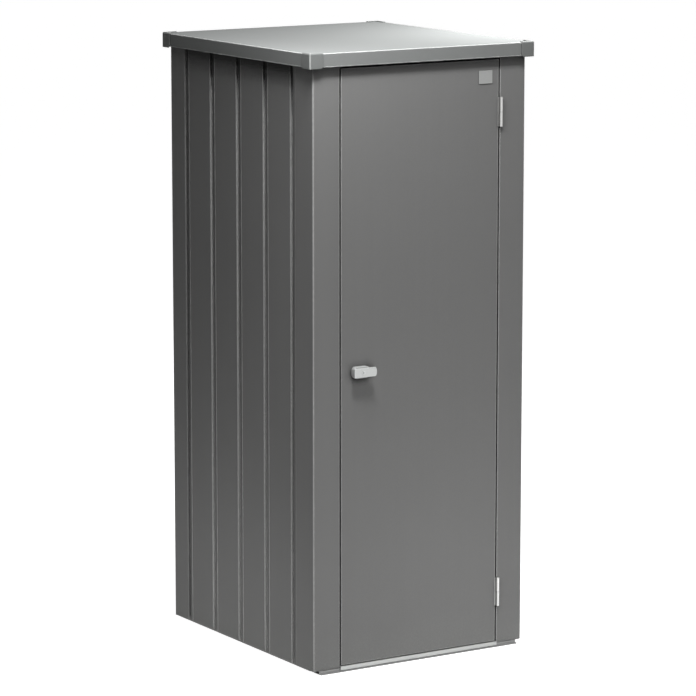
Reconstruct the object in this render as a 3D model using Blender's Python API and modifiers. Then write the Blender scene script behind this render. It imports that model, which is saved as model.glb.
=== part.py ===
"""Metal garden tool cabinet.

A free-standing sheet-metal cabinet for long-handled tools.  Folded corner
posts and grooved wall panels stand on a frame of aluminium rails, a roof pan
with four corner caps closes the top, and one flush door hangs on two outside
hinges.  A lever turns a cam disc inside the door, whose two pins push one
locking rod up into the header and one down through the sill.

Lengths are in metres.  The drawing frame has X to the right, Y from the front
plane to the back and Z up from the floor, with the body centred on X.  The
whole drawing frame is then moved along Y so that the origin lies under the
middle of the finished cabinet.
"""
import math

import bmesh
import bpy
from mathutils import Matrix, Vector

MM = 0.001

# Overall sizes and clearances
OVERALL_HEIGHT = 1825 * MM
BODY_WIDTH = 736 * MM
BODY_DEPTH = 825 * MM
SEAT_GAP = 0.3 * MM
RUNNING_GAP = 0.5 * MM
CUT_OVERRUN = 4 * MM
MERGE_DISTANCE = 0.01 * MM

# Sheet metal
WALL_SHEET = 1.0 * MM
DOOR_SHEET = 1.0 * MM
ROOF_SHEET = 1.0 * MM
RAIL_SHEET = 1.5 * MM
FOLD_RADIUS = 2.0 * MM
BODY_CORNER_RADIUS = 5.0 * MM

# Wall grooves
GROOVE_PITCH = 154.1 * MM
GROOVE_WIDTH = 24.0 * MM
GROOVE_DEPTH = 5.0 * MM
GROOVE_FLANK = 2.6 * MM
GROOVE_RUNOUT = 15.0 * MM
RUNOUT_DEPTH_SHARE = 0.25
SIDE_GROOVE_START = 98.6 * MM
SIDE_GROOVES = 5
REAR_GROOVES = 4
LAP_EDGE_GAP = 1.5 * MM

# Base frame of aluminium rails
BASE_HEIGHT = 10.7 * MM
BASE_WALL = 2.5 * MM
BASE_INSET = 19.5 * MM
BASE_RAIL_WIDTH = 22.0 * MM
BASE_LEDGE_RECESS = 0.8 * MM
FRONT_LIP_REACH = 10.0 * MM
FRONT_LIP_RISE = 1.0 * MM
FLOOR_SHEET = 1.2 * MM
FLOOR_BEAD_HEIGHT = 3.0 * MM
FLOOR_BEAD_WIDTH = 22.0 * MM
FLOOR_BEADS = 6
FLOOR_SIDE_INSET = 22.0 * MM

# Posts and doorway
POST_FACE_WIDTH = 90.5 * MM
DOOR_GAP = 3.5 * MM
STOP_FACE = 24.5 * MM
STOP_LIP_WIDTH = 15.0 * MM

# Sill under the door
SILL_WALL = 2.0 * MM
SILL_HEIGHT = 15.5 * MM
SILL_NOSE_REACH = 4.0 * MM
SILL_NOSE_BOTTOM = 4.2 * MM
SILL_STOP_HEIGHT = 34.0 * MM
SILL_FOOT_START = 17.5 * MM

# Roof
ROOF_SIDE_OVERHANG = 20.5 * MM
ROOF_FRONT_OVERHANG = 18.0 * MM
ROOF_REAR_OVERHANG = 15.0 * MM
FASCIA_RETURN = 12.0 * MM
ROOF_FOLD_RADIUS = 3.0 * MM
CAP_HEIGHT = 46.0 * MM
CAP_DROP = 3.5 * MM
CAP_FLANGE = 12.0 * MM
CAP_CORNER_RADIUS = 8.0 * MM
CAP_SHEET = 2.0 * MM
CAP_LEG = 45.0 * MM
CAP_EDGE_RADIUS = 5.0 * MM

# Header and top rails
HEADER_STOP_DROP = 15.5 * MM
HEADER_TOP_FLANGE = 22.0 * MM
TOP_RAIL_HEIGHT = 36.0 * MM
TOP_RAIL_FLANGE = 30.0 * MM
ROOF_STIFFENER_WIDTH = 60.0 * MM
ROOF_STIFFENER_DEPTH = 20.0 * MM

# Door
DOOR_BOTTOM = 17.0 * MM
DOOR_CAP_CLEARANCE = 3.0 * MM
DOOR_DEPTH = 22.0 * MM
DOOR_LIP = 15.0 * MM
STIFFENER_WIDTH = 40.0 * MM
STIFFENER_FOOT = 14.0 * MM
STIFFENER_DEPTH = 18.0 * MM
STIFFENER_END_GAP = 26.0 * MM
STIFFENER_SHARES = {"left": -0.2, "right": 0.45}
BUFFER_RADIUS = 6.0 * MM
BUFFER_HEIGHT_SHARES = {"lower": 0.17, "upper": 0.83}
BADGE_WIDTH = 47.5 * MM
BADGE_HEIGHT = 38.5 * MM
BADGE_THICKNESS = 1.5 * MM
BADGE_EDGE_GAP = 24.5 * MM
BADGE_TOP_GAP = 32.0 * MM
BADGE_CORNER_RADIUS = 2.0 * MM

# Hinges
HINGE_AXIS_INSET = 2.5 * MM
HINGE_LENGTH = 89.5 * MM
HINGE_TOP_DISTANCE = 111.5 * MM
HINGE_BOTTOM_DISTANCE = 108.0 * MM
BARREL_RADIUS = 4.2 * MM
BARREL_CLEARANCE = 0.8 * MM
PIN_RADIUS = 2.5 * MM
PIN_HEAD_RADIUS = 3.7 * MM
PIN_HEAD_HEIGHT = 1.4 * MM
LEAF_SHEET = 1.2 * MM
LEAF_DEPTH = 20.0 * MM
LEAF_FRONT_STRIP = 5.5 * MM
WASHER_THICKNESS = 1.0 * MM

# Handle and lock
SPINDLE_EDGE_DISTANCE = 62.5 * MM
SPINDLE_Z = 889.7 * MM
ROSE_LENGTH = 55.0 * MM
ROSE_HEIGHT = 34.0 * MM
ROSE_DEPTH = 15.5 * MM
ROSE_CORNER_RADIUS = 11.0 * MM
ROSE_EDGE_RADIUS = 1.5 * MM
LEVER_LEFT = 29.5 * MM
LEVER_RIGHT = 46.5 * MM
LEVER_END_BULGE = 4.0 * MM
LEVER_HEIGHT = 26.5 * MM
LEVER_THICKNESS = 8.5 * MM
LEVER_EDGE_RADIUS = 1.2 * MM
HUB_RADIUS = 8.0 * MM
SPINDLE_SIDE = 8.0 * MM
HUB_END_GAP = 3.5 * MM
SPINDLE_ENTRY = 2.2 * MM
SPINDLE_END_RADIUS = 3.0 * MM
SPINDLE_END_LENGTH = 4.5 * MM
BUSH_WALL = 1.5 * MM
BUSH_REACH = 3.0 * MM
BUSH_FLANGE = 4.0 * MM
PLUG_RADIUS = 5.5 * MM
PLUG_DEPTH = 5.0 * MM
PLUG_PROUD = 0.8 * MM
KEYWAY_WIDTH = 1.6 * MM
KEYWAY_HEIGHT = 6.4 * MM
KEYWAY_DEPTH = 3.0 * MM
LOCK_CASE_WIDTH = 74.0 * MM
LOCK_CASE_HEIGHT = 108.0 * MM
LOCK_CASE_SHEET = 2.0 * MM
LOCK_CASE_DEPTH = 18.0 * MM
LOCK_CASE_FOOT = 14.0 * MM
CAM_RADIUS = 22.0 * MM
CAM_THICKNESS = 3.0 * MM
CAM_FACE_DEPTH = 8.0 * MM
CAM_PIN_CIRCLE = 16.0 * MM
CAM_PIN_RADIUS = 3.0 * MM
CAM_PIN_START_ANGLE = math.radians(45)
ROD_WIDTH = 12.0 * MM
ROD_THICKNESS = 3.0 * MM
ROD_FACE_DEPTH = 12.3 * MM
ROD_TIP_WIDTH = 8.0 * MM
ROD_SHOULDER_GAP = 4.0 * MM
YOKE_CLEARANCE = 0.8 * MM
YOKE_ARM = 5.0 * MM
YOKE_INNER_WALL = 0.9 * MM
LOWER_ROD_BOTTOM_GAP = 9.0 * MM
GUIDE_WIDTH = 26.0 * MM
GUIDE_HEIGHT = 14.0 * MM
GUIDE_EDGE_RADIUS = 1.5 * MM
GUIDE_DEPTH = 17.5 * MM
GUIDE_PLACE_SHARES = {"inner": 0.42, "outer": 0.93}
ROD_HOLE_GAP = 1.2 * MM
STRIKE_LENGTH = 46.0 * MM
STRIKE_WIDTH = 13.0 * MM
STRIKE_FRONT = 4.2 * MM
STRIKE_SHEET = 1.5 * MM

# Shelf and tool rail
SHELF_TOP = 1450.0 * MM
SHELF_DEPTH = 340.0 * MM
SHELF_EDGE = 25.0 * MM
SHELF_LIP = 12.0 * MM
SHELF_BRACKET_LEG = 22.0 * MM
TOOL_RAIL_HEIGHT = 1250.0 * MM
TOOL_RAIL_FACE = 40.0 * MM
TOOL_RAIL_DEPTH = 20.0 * MM
TOOL_RAIL_FOOT = 15.0 * MM
TOOL_RAIL_END_GAP = 28.0 * MM
HOOK_PLATE_WIDTH = 52.0 * MM
HOOK_PLATE_HEIGHT = 34.0 * MM
HOOK_PLATE_SHEET = 2.0 * MM
HOOK_SPACING = 34.0 * MM
HOOK_REACH = 62.0 * MM
HOOK_TIP_RISE = 16.0 * MM
HOOK_WIRE_RADIUS = 3.0 * MM
HOOK_BEND_RADIUS = 8.0 * MM
HOOK_PLACE_SHARES = {"left": -0.5, "right": 0.5}

# Facets
CORNER_STEPS = 4
FOLD_STEPS = 2
ROUND_SIDES = 24
PIN_SIDES = 16
END_BULGE_STEPS = 8

# Places worked out from the sizes above
half_width = BODY_WIDTH / 2
wall_bottom = BASE_HEIGHT + SEAT_GAP
roof_top = OVERALL_HEIGHT - CAP_SHEET - SEAT_GAP
frame_top = roof_top - ROOF_SHEET - SEAT_GAP
cap_bottom = OVERALL_HEIGHT - CAP_HEIGHT
fascia_bottom = cap_bottom + CAP_DROP
door_top = cap_bottom - DOOR_CAP_CLEARANCE
header_bottom = door_top + DOOR_GAP
door_height = door_top - DOOR_BOTTOM
opening_half = half_width - POST_FACE_WIDTH
door_half = opening_half - DOOR_GAP
lap_depth = WALL_SHEET + SEAT_GAP
lining_depth = GROOVE_DEPTH + lap_depth + lap_depth
rear_groove_start = (BODY_WIDTH - (REAR_GROOVES - 1) * GROOVE_PITCH - GROOVE_WIDTH) / 2
hinge_axis_x = opening_half + HINGE_AXIS_INSET
hinge_axis_y = -BARREL_RADIUS - BARREL_CLEARANCE
spindle_x = SPINDLE_EDGE_DISTANCE - door_half
lever_back = -ROSE_DEPTH - 2 * SEAT_GAP
lever_front = lever_back - LEVER_THICKNESS
upper_rod_x = spindle_x - CAM_PIN_CIRCLE
lower_rod_x = spindle_x + CAM_PIN_CIRCLE
rod_middle_y = ROD_FACE_DEPTH + ROD_THICKNESS / 2
upper_hinge_z = door_top - HINGE_TOP_DISTANCE - HINGE_LENGTH / 2
lower_hinge_z = DOOR_BOTTOM + HINGE_BOTTOM_DISTANCE + HINGE_LENGTH / 2
front_reach = -(lever_front - PLUG_PROUD)
rear_reach = BODY_DEPTH + ROOF_REAR_OVERHANG
origin_shift = (front_reach - rear_reach) / 2

# Colour, roughness and metallic value of each finish
FINISHES = {
    "graphite": ((0.165, 0.165, 0.160), 0.42, 0.35),
    "roof_grey": ((0.30, 0.30, 0.295), 0.38, 0.45),
    "aluminium": ((0.62, 0.62, 0.60), 0.38, 0.9),
    "silver": ((0.72, 0.72, 0.71), 0.30, 0.85),
    "zinc": ((0.55, 0.56, 0.58), 0.35, 0.9),
    "badge": ((0.42, 0.42, 0.42), 0.35, 0.6),
    "nylon": ((0.03, 0.03, 0.03), 0.55, 0.0),
    "rubber": ((0.02, 0.02, 0.02), 0.8, 0.0),
}

for old_object in list(bpy.data.objects):
    bpy.data.objects.remove(old_object, do_unlink=True)

cabinet_collection = bpy.data.collections.new("garden_tool_cabinet")
cutter_collection = bpy.data.collections.new("cutters")
bpy.context.scene.collection.children.link(cabinet_collection)
bpy.context.scene.collection.children.link(cutter_collection)


# Placing and finishing

def make_pivot(name, location, parent=None):
    """An empty on a joint's axis, or the one that moves the whole drawing frame."""
    pivot = bpy.data.objects.new(name, None)
    cabinet_collection.objects.link(pivot)
    pivot.location = location
    if parent is not None:
        pivot.parent = parent
        pivot.location = Vector(location) - drawing_place(parent)
    return pivot


def drawing_place(pivot):
    """Where a pivot lies in the drawing frame."""
    place = Vector((0, 0, 0))
    while pivot.parent is not None:
        place += pivot.location
        pivot = pivot.parent
    return place


def finish(part, kind, pivot, smooth=True):
    """Give a part its own material and hang it on its pivot, where it already stands."""
    colour, roughness, metallic = FINISHES[kind]
    material = bpy.data.materials.new(part.name + "_" + kind)
    material.use_nodes = True
    shader = material.node_tree.nodes["Principled BSDF"]
    shader.inputs["Base Color"].default_value = (*colour, 1)
    shader.inputs["Roughness"].default_value = roughness
    shader.inputs["Metallic"].default_value = metallic
    material.diffuse_color = (*colour, 1)
    part.data.materials.clear()
    part.data.materials.append(material)
    if smooth and part.type == "MESH":
        part.data.shade_smooth()
        part.data.set_sharp_from_angle(angle=math.radians(35))
    part.location = part.location - drawing_place(pivot)
    part.parent = pivot
    return part


# Shapes

def mesh_object(name, bm, collection=None):
    """Turn a bmesh into an object in the cabinet's collection."""
    mesh = bpy.data.meshes.new(name)
    bm.to_mesh(mesh)
    bm.free()
    part = bpy.data.objects.new(name, mesh)
    (collection or cabinet_collection).objects.link(part)
    return part


def box(name, low, high, edge_radius=0, collection=None):
    """A block between two corners, with rounded edges where a radius is given."""
    low, high = Vector(low), Vector(high)
    bm = bmesh.new()
    bmesh.ops.create_cube(bm, size=1)
    bmesh.ops.scale(bm, vec=high - low, verts=bm.verts)
    part = mesh_object(name, bm, collection)
    part.location = (low + high) / 2
    if edge_radius:
        round_edges(part, edge_radius)
    return part


def cylinder(name, centre, radius, length, axis, sides=ROUND_SIDES, collection=None):
    """A round bar about a middle point, along X, Y or Z."""
    bm = bmesh.new()
    bmesh.ops.create_cone(bm, cap_ends=True, segments=sides, radius1=radius,
                          radius2=radius, depth=length)
    if axis == "X":
        bmesh.ops.rotate(bm, matrix=Matrix.Rotation(math.radians(90), 3, "Y"), verts=bm.verts)
    if axis == "Y":
        bmesh.ops.rotate(bm, matrix=Matrix.Rotation(math.radians(-90), 3, "X"), verts=bm.verts)
    part = mesh_object(name, bm, collection)
    part.location = centre
    return part


def round_edges(part, radius, segments=2):
    """Bevel the sharp edges of a part."""
    bevel = part.modifiers.new("rounded_edges", "BEVEL")
    bevel.width = radius
    bevel.segments = segments
    bevel.limit_method = "ANGLE"
    bevel.angle_limit = math.radians(40)


def cut(part, cutter):
    """Cut a guide shape out of a part."""
    combine(part, cutter, "DIFFERENCE")


def join(part, addition):
    """Weld a guide shape onto a part."""
    combine(part, addition, "UNION")


def combine(part, guide, operation):
    for collection in list(guide.users_collection):
        collection.objects.unlink(guide)
    cutter_collection.objects.link(guide)
    guide.hide_render = True
    guide.display_type = "WIRE"
    guide.parent = part
    guide.matrix_parent_inverse = Matrix.Translation(part.location).inverted()
    boolean = part.modifiers.new(operation.lower(), "BOOLEAN")
    boolean.operation = operation
    boolean.solver = "EXACT"
    boolean.object = guide


def outline_curve(name, outline, length, axis):
    """A flat closed outline pulled to a length along X, Y or Z about the frame's middle."""
    curve = bpy.data.curves.new(name, "CURVE")
    curve.dimensions = "2D"
    curve.fill_mode = "BOTH"
    curve.extrude = length / 2
    spline = curve.splines.new("POLY")
    spline.points.add(len(outline) - 1)
    for point, (a, b) in zip(spline.points, outline):
        point.co = (a, b, 0, 1)
    spline.use_cyclic_u = True
    part = bpy.data.objects.new(name, curve)
    cabinet_collection.objects.link(part)
    right_angle = math.radians(90)
    part.rotation_euler = {"X": (right_angle, 0, right_angle),
                           "Y": (right_angle, 0, 0),
                           "Z": (0, 0, 0)}[axis]
    return part


def curve_to_mesh(curve_part):
    """Turn a curve into a welded mesh with the same name and place."""
    name = curve_part.name
    bpy.context.view_layer.update()
    evaluated = curve_part.evaluated_get(bpy.context.evaluated_depsgraph_get())
    mesh = bpy.data.meshes.new_from_object(evaluated)
    place = curve_part.matrix_world.copy()
    bpy.data.objects.remove(curve_part, do_unlink=True)
    bm = bmesh.new()
    bm.from_mesh(mesh)
    bmesh.ops.remove_doubles(bm, verts=bm.verts, dist=MERGE_DISTANCE)
    bmesh.ops.transform(bm, matrix=place.to_3x3().to_4x4(), verts=bm.verts)
    bmesh.ops.recalc_face_normals(bm, faces=bm.faces)
    bm.to_mesh(mesh)
    bm.free()
    part = bpy.data.objects.new(name, mesh)
    cabinet_collection.objects.link(part)
    part.location = place.translation
    return part


def bar(name, outline, start, end, axis):
    """A solid bar of one section from start to end along an axis.

    The outline's two numbers are Y and Z for a bar along X, and X and Z for one along Y.
    """
    part = curve_to_mesh(outline_curve(name, outline, end - start, axis))
    middle = (start + end) / 2
    part.location = {"X": (middle, 0, 0), "Y": (0, middle, 0), "Z": (0, 0, middle)}[axis]
    return part


def rounded_path(corners, steps=FOLD_STEPS):
    """Points of a path whose corners (a, b, radius) are turned in arcs."""
    points = []
    for index, (a, b, radius) in enumerate(corners):
        here = Vector((a, b))
        if radius == 0 or index in (0, len(corners) - 1):
            points.append((a, b))
            continue
        back = (Vector(corners[index - 1][:2]) - here).normalized()
        ahead = (Vector(corners[index + 1][:2]) - here).normalized()
        half_angle = back.angle(ahead) / 2
        reach = radius / math.tan(half_angle)
        centre = here + (back + ahead).normalized() * radius / math.sin(half_angle)
        first = here + back * reach - centre
        turn = first.angle_signed(here + ahead * reach - centre)
        for step in range(steps + 1):
            spoke = first.copy()
            spoke.rotate(Matrix.Rotation(-turn * step / steps, 2))
            points.append(tuple(centre + spoke))
    return points


def sheet(name, rings, axis, thickness):
    """A folded sheet that runs along an axis.

    Each ring is (place along the axis, path).  A path's two numbers are X and Y for a
    sheet along Z, Y and Z for one along X, and X and Z for one along Y.  The path is the
    outer face, and the metal lies on its right-hand side.
    """
    def point(place, a, b):
        return {"X": (place, a, b), "Y": (a, place, b), "Z": (a, b, place)}[axis]

    bm = bmesh.new()
    rows = [[bm.verts.new(point(place, a, b)) for a, b in path] for place, path in rings]
    for lower, upper in zip(rows, rows[1:]):
        for index in range(len(lower) - 1):
            corners = [lower[index], upper[index], upper[index + 1], lower[index + 1]]
            if axis == "Y":
                corners.reverse()
            bm.faces.new(corners)
    part = mesh_object(name, bm)
    solidify(part, thickness)
    return part


def solidify(part, thickness):
    """Give an open surface its thickness on the inner side."""
    wall = part.modifiers.new("sheet_thickness", "SOLIDIFY")
    wall.thickness = thickness
    wall.offset = -1
    wall.use_even_offset = True
    wall.use_rim = True


def mirrored(rings):
    """The same rings on the other side of the cabinet's middle plane."""
    return [(place, [(-a, b) for a, b in reversed(path)]) for place, path in rings]


def pan(name, low, high, open_side, lip, thickness, fold_radius):
    """A sheet folded down on four sides of a box, with a narrow lip turned in at the open side.

    open_side is the axis and sign of the missing face, such as (1, 1) for +Y.
    """
    low, high = Vector(low), Vector(high)
    axis, sign = open_side
    bm = bmesh.new()
    bmesh.ops.create_cube(bm, size=1)
    bmesh.ops.scale(bm, vec=high - low, verts=bm.verts)
    missing = [face for face in bm.faces if face.normal[axis] * sign > 0.5]
    bmesh.ops.delete(bm, geom=missing, context="FACES_ONLY")
    folds = [edge for edge in bm.edges if not edge.is_boundary]
    bmesh.ops.bevel(bm, geom=folds, offset=fold_radius, segments=FOLD_STEPS, profile=0.5,
                    affect="EDGES")
    if lip:
        rim = [edge for edge in bm.edges if edge.is_boundary]
        turned = bmesh.ops.extrude_edge_only(bm, edges=rim)["geom"]
        for vertex in (item for item in turned if isinstance(item, bmesh.types.BMVert)):
            for side in range(3):
                if side != axis:
                    vertex.co[side] -= math.copysign(lip, vertex.co[side])
    bmesh.ops.recalc_face_normals(bm, faces=bm.faces)
    part = mesh_object(name, bm)
    part.location = (low + high) / 2
    solidify(part, thickness)
    return part


origin = make_pivot("cabinet_origin", (0, origin_shift, 0))
door_pivot = make_pivot("door_pivot", (hinge_axis_x, hinge_axis_y, 0), origin)
handle_pivot = make_pivot("handle_pivot", (spindle_x, 0, SPINDLE_Z), door_pivot)
upper_rod_pivot = make_pivot("upper_rod_pivot", (upper_rod_x, rod_middle_y, SPINDLE_Z), door_pivot)
lower_rod_pivot = make_pivot("lower_rod_pivot", (lower_rod_x, rod_middle_y, SPINDLE_Z), door_pivot)


# Base frame

def rail_outline(outer, direction):
    """Section of a base rail with a ledge under the wall, as (across, height) points."""
    ledge_bottom = BASE_HEIGHT - BASE_WALL
    steps = [(BASE_LEDGE_RECESS, ledge_bottom), (BASE_INSET, ledge_bottom), (BASE_INSET, 0),
             (BASE_INSET + BASE_RAIL_WIDTH, 0), (BASE_INSET + BASE_RAIL_WIDTH, BASE_WALL),
             (BASE_INSET + BASE_WALL, BASE_WALL), (BASE_INSET + BASE_WALL, ledge_bottom),
             (BASE_INSET + BASE_RAIL_WIDTH, ledge_bottom),
             (BASE_INSET + BASE_RAIL_WIDTH, BASE_HEIGHT), (BASE_LEDGE_RECESS, BASE_HEIGHT)]
    return [(outer + direction * across, height) for across, height in steps]


def front_rail_outline():
    """Section of the front rail, with the low lip that runs along the floor."""
    depth = BASE_RAIL_WIDTH
    web_back = SEAT_GAP + BASE_WALL
    ledge_bottom = BASE_HEIGHT - BASE_WALL
    return [(-FRONT_LIP_REACH, 0), (depth, 0), (depth, BASE_WALL), (web_back, BASE_WALL),
            (web_back, ledge_bottom), (depth, ledge_bottom), (depth, BASE_HEIGHT),
            (SEAT_GAP, BASE_HEIGHT), (SEAT_GAP, BASE_WALL + FRONT_LIP_RISE),
            (-FRONT_LIP_REACH, BASE_WALL)]


rail_half = half_width - BASE_INSET
rail_inner = rail_half - BASE_RAIL_WIDTH
side_rail_start = BASE_RAIL_WIDTH + SEAT_GAP
side_rail_end = BODY_DEPTH - BASE_LEDGE_RECESS

front_rail = bar("base_front_rail", front_rail_outline(), -rail_half, rail_half, "X")
for side, direction in (("left", -1), ("right", 1)):
    rail = bar("base_" + side + "_rail", rail_outline(direction * half_width, -direction),
               side_rail_start, side_rail_end, "Y")
    finish(rail, "aluminium", origin, smooth=False)
rear_rail = bar("base_rear_rail", rail_outline(BODY_DEPTH, -1),
                SEAT_GAP - rail_inner, rail_inner - SEAT_GAP, "X")
finish(rear_rail, "aluminium", origin, smooth=False)


def cross_rail_outline(middle):
    """Section of the rail under the middle of the floor."""
    front = middle - BASE_RAIL_WIDTH / 2
    back = middle + BASE_RAIL_WIDTH / 2
    web = front + BASE_WALL
    return [(front, 0), (back, 0), (back, BASE_WALL), (web, BASE_WALL),
            (web, BASE_HEIGHT - BASE_WALL), (back, BASE_HEIGHT - BASE_WALL),
            (back, BASE_HEIGHT), (front, BASE_HEIGHT)]


cross_rail = bar("base_cross_rail", cross_rail_outline(BODY_DEPTH / 2),
                 SEAT_GAP - rail_inner, rail_inner - SEAT_GAP, "X")
finish(cross_rail, "aluminium", origin, smooth=False)


# Floor

def floor_path():
    """Top face of the floor, from left to right, with raised beads."""
    half = half_width - FLOOR_SIDE_INSET
    base = wall_bottom + FLOOR_SHEET
    pitch = 2 * half / FLOOR_BEADS
    corners = [(-half, base)]
    for bead in range(FLOOR_BEADS):
        middle = -half + pitch * (bead + 0.5)
        foot = FLOOR_BEAD_WIDTH / 2
        crown = foot - FLOOR_BEAD_HEIGHT
        corners += [(middle - foot, base), (middle - crown, base + FLOOR_BEAD_HEIGHT),
                    (middle + crown, base + FLOOR_BEAD_HEIGHT), (middle + foot, base)]
    return corners + [(half, base)]


floor_front = STOP_FACE + SILL_WALL + RUNNING_GAP
floor_back = BODY_DEPTH - FLOOR_SIDE_INSET
floor_panel = sheet("floor_panel", [(floor_front, floor_path()), (floor_back, floor_path())],
                    "Y", FLOOR_SHEET)
finish(floor_panel, "graphite", origin, smooth=False)


# Door sill

def sill_outline():
    """Section of the sill: front nose, top plate, stop behind the door and foot."""
    under = SILL_HEIGHT - SILL_WALL
    nose_back = SILL_WALL - SILL_NOSE_REACH
    return [(-SILL_NOSE_REACH, SILL_NOSE_BOTTOM), (-SILL_NOSE_REACH, SILL_HEIGHT),
            (STOP_FACE, SILL_HEIGHT), (STOP_FACE, SILL_STOP_HEIGHT),
            (STOP_FACE + SILL_WALL, SILL_STOP_HEIGHT), (STOP_FACE + SILL_WALL, wall_bottom),
            (SILL_FOOT_START, wall_bottom), (SILL_FOOT_START, under),
            (nose_back, under), (nose_back, SILL_NOSE_BOTTOM)]


def rod_hole(x, low, high):
    """A guide for the slot that a locking rod's tip passes through."""
    reach_x = ROD_TIP_WIDTH / 2 + ROD_HOLE_GAP
    reach_y = ROD_THICKNESS / 2 + ROD_HOLE_GAP
    return box("rod_hole", (x - reach_x, rod_middle_y - reach_y, low),
               (x + reach_x, rod_middle_y + reach_y, high), collection=cutter_collection)


sill = bar("door_sill", sill_outline(), SEAT_GAP - opening_half, opening_half - SEAT_GAP, "X")
cut(sill, rod_hole(lower_rod_x, SILL_HEIGHT - 2 * SILL_WALL, SILL_HEIGHT + CUT_OVERRUN))
finish(sill, "aluminium", origin, smooth=False)
cut(front_rail, rod_hole(lower_rod_x, BASE_WALL + CUT_OVERRUN / 2, BASE_HEIGHT + CUT_OVERRUN))
finish(front_rail, "aluminium", origin, smooth=False)


# Corner posts and walls

def whole_groove(start, depth):
    """One groove in a panel, as (along, inward) points."""
    return [(start, 0), (start + GROOVE_FLANK, depth),
            (start + GROOVE_WIDTH - GROOVE_FLANK, depth), (start + GROOVE_WIDTH, 0)]


def outer_lap(start, depth):
    """The edge of a panel that ends on the outside of a joint in a groove."""
    return [(start, 0), (start + GROOVE_FLANK, depth),
            (start + GROOVE_WIDTH - GROOVE_FLANK - LAP_EDGE_GAP, depth)]


def inner_lap(start, depth):
    """The edge of a panel that starts on the inside of a joint in a groove."""
    return [(start + GROOVE_FLANK + LAP_EDGE_GAP, depth + lap_depth),
            (start + GROOVE_WIDTH - GROOVE_FLANK, depth + lap_depth),
            (start + GROOVE_WIDTH, 0)]


def on_left_side(points):
    return [(inward - half_width, along) for along, inward in points]


def on_back(points):
    return [(along - half_width, BODY_DEPTH - inward) for along, inward in points]


def side_groove(index):
    return SIDE_GROOVE_START + index * GROOVE_PITCH


def rear_groove(index):
    return rear_groove_start + index * GROOVE_PITCH


def front_post_path(depth):
    """From the stop lip round the doorway's edge and the corner to the first groove."""
    corners = [(STOP_LIP_WIDTH - opening_half, STOP_FACE, 0),
               (-opening_half, STOP_FACE, FOLD_RADIUS), (-opening_half, 0, FOLD_RADIUS),
               (-half_width, 0, BODY_CORNER_RADIUS), (-half_width, SIDE_GROOVE_START, 0)]
    fold = rounded_path(corners, CORNER_STEPS)
    return fold[:-1] + on_left_side(outer_lap(SIDE_GROOVE_START, depth))


def side_wall_path(depth):
    """From the lap in the first groove to the lap in the last one."""
    points = inner_lap(side_groove(0), depth)
    for index in range(1, SIDE_GROOVES - 1):
        points += whole_groove(side_groove(index), depth)
    points += outer_lap(side_groove(SIDE_GROOVES - 1), depth)
    return on_left_side(points)


def rear_post_path(depth):
    """From the lap in the last side groove round the rear corner to the first rear groove."""
    start = on_left_side(inner_lap(side_groove(SIDE_GROOVES - 1), depth))
    end = on_back(outer_lap(rear_groove(0), depth))
    corners = [(*start[-1], 0), (-half_width, BODY_DEPTH, BODY_CORNER_RADIUS), (*end[0], 0)]
    return start[:-1] + rounded_path(corners, CORNER_STEPS) + end[1:]


def back_wall_path(depth):
    """From the lap in the first rear groove to the lap in the last one."""
    last = rear_groove(REAR_GROOVES - 1)
    points = inner_lap(rear_groove(0), depth)
    for index in range(1, REAR_GROOVES - 1):
        points += whole_groove(rear_groove(index), depth)
    right_lap = [(2 * last + GROOVE_WIDTH - along, inward)
                 for along, inward in reversed(inner_lap(last, depth))]
    return on_back(points + right_lap)


def grooved_rings(path):
    """A grooved panel's levels: the grooves run out just above the lower edge."""
    return [(wall_bottom, path(GROOVE_DEPTH * RUNOUT_DEPTH_SHARE)),
            (wall_bottom + GROOVE_RUNOUT, path(GROOVE_DEPTH)),
            (frame_top, path(GROOVE_DEPTH))]


for side in ("left", "right"):
    for name, path in (("front_post", front_post_path), ("wall", side_wall_path),
                       ("rear_post", rear_post_path)):
        rings = grooved_rings(path)
        if side == "right":
            rings = mirrored(rings)
        panel = sheet(side + "_" + name, rings, "Z", WALL_SHEET)
        if name == "front_post":
            sign = -1 if side == "left" else 1
            lip_end = sign * (opening_half - STOP_LIP_WIDTH - CUT_OVERRUN)
            lip_root = sign * (opening_half - SEAT_GAP)
            low_x, high_x = min(lip_end, lip_root), max(lip_end, lip_root)
            lip_front = DOOR_DEPTH
            lip_back = STOP_FACE + CUT_OVERRUN
            cut(panel, box("sill_notch", (low_x, lip_front, 0),
                           (high_x, lip_back, SILL_STOP_HEIGHT + SEAT_GAP)))
            cut(panel, box("header_notch",
                           (low_x, lip_front, header_bottom - HEADER_STOP_DROP - SEAT_GAP),
                           (high_x, lip_back, OVERALL_HEIGHT)))
        finish(panel, "graphite", origin)
back_wall = sheet("back_wall", grooved_rings(back_wall_path), "Z", WALL_SHEET)
finish(back_wall, "graphite", origin)


# Header and top rails

def header_path():
    """From the stop behind the door, under and up the front face, to the top flange."""
    corners = [(STOP_FACE, header_bottom - HEADER_STOP_DROP, 0),
               (STOP_FACE, header_bottom, FOLD_RADIUS), (0, header_bottom, FOLD_RADIUS),
               (0, frame_top, FOLD_RADIUS), (HEADER_TOP_FLANGE, frame_top, 0)]
    return rounded_path(corners)


header = sheet("top_front_rail", [(SEAT_GAP - opening_half, header_path()),
                                  (opening_half - SEAT_GAP, header_path())], "X", WALL_SHEET)
cut(header, rod_hole(upper_rod_x, header_bottom - CUT_OVERRUN, header_bottom + CUT_OVERRUN))
finish(header, "graphite", origin)

lining_x = half_width - lining_depth - SEAT_GAP
lining_y = BODY_DEPTH - lining_depth - SEAT_GAP


def angle_rings(face, top, height, flange, start, end):
    """An angle with its upright leg against a left wall and its flange turned in on top."""
    corners = [(face, top - height, 0), (face, top, FOLD_RADIUS), (face + flange, top, 0)]
    path = rounded_path(corners)
    return [(start, path), (end, path)]


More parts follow.
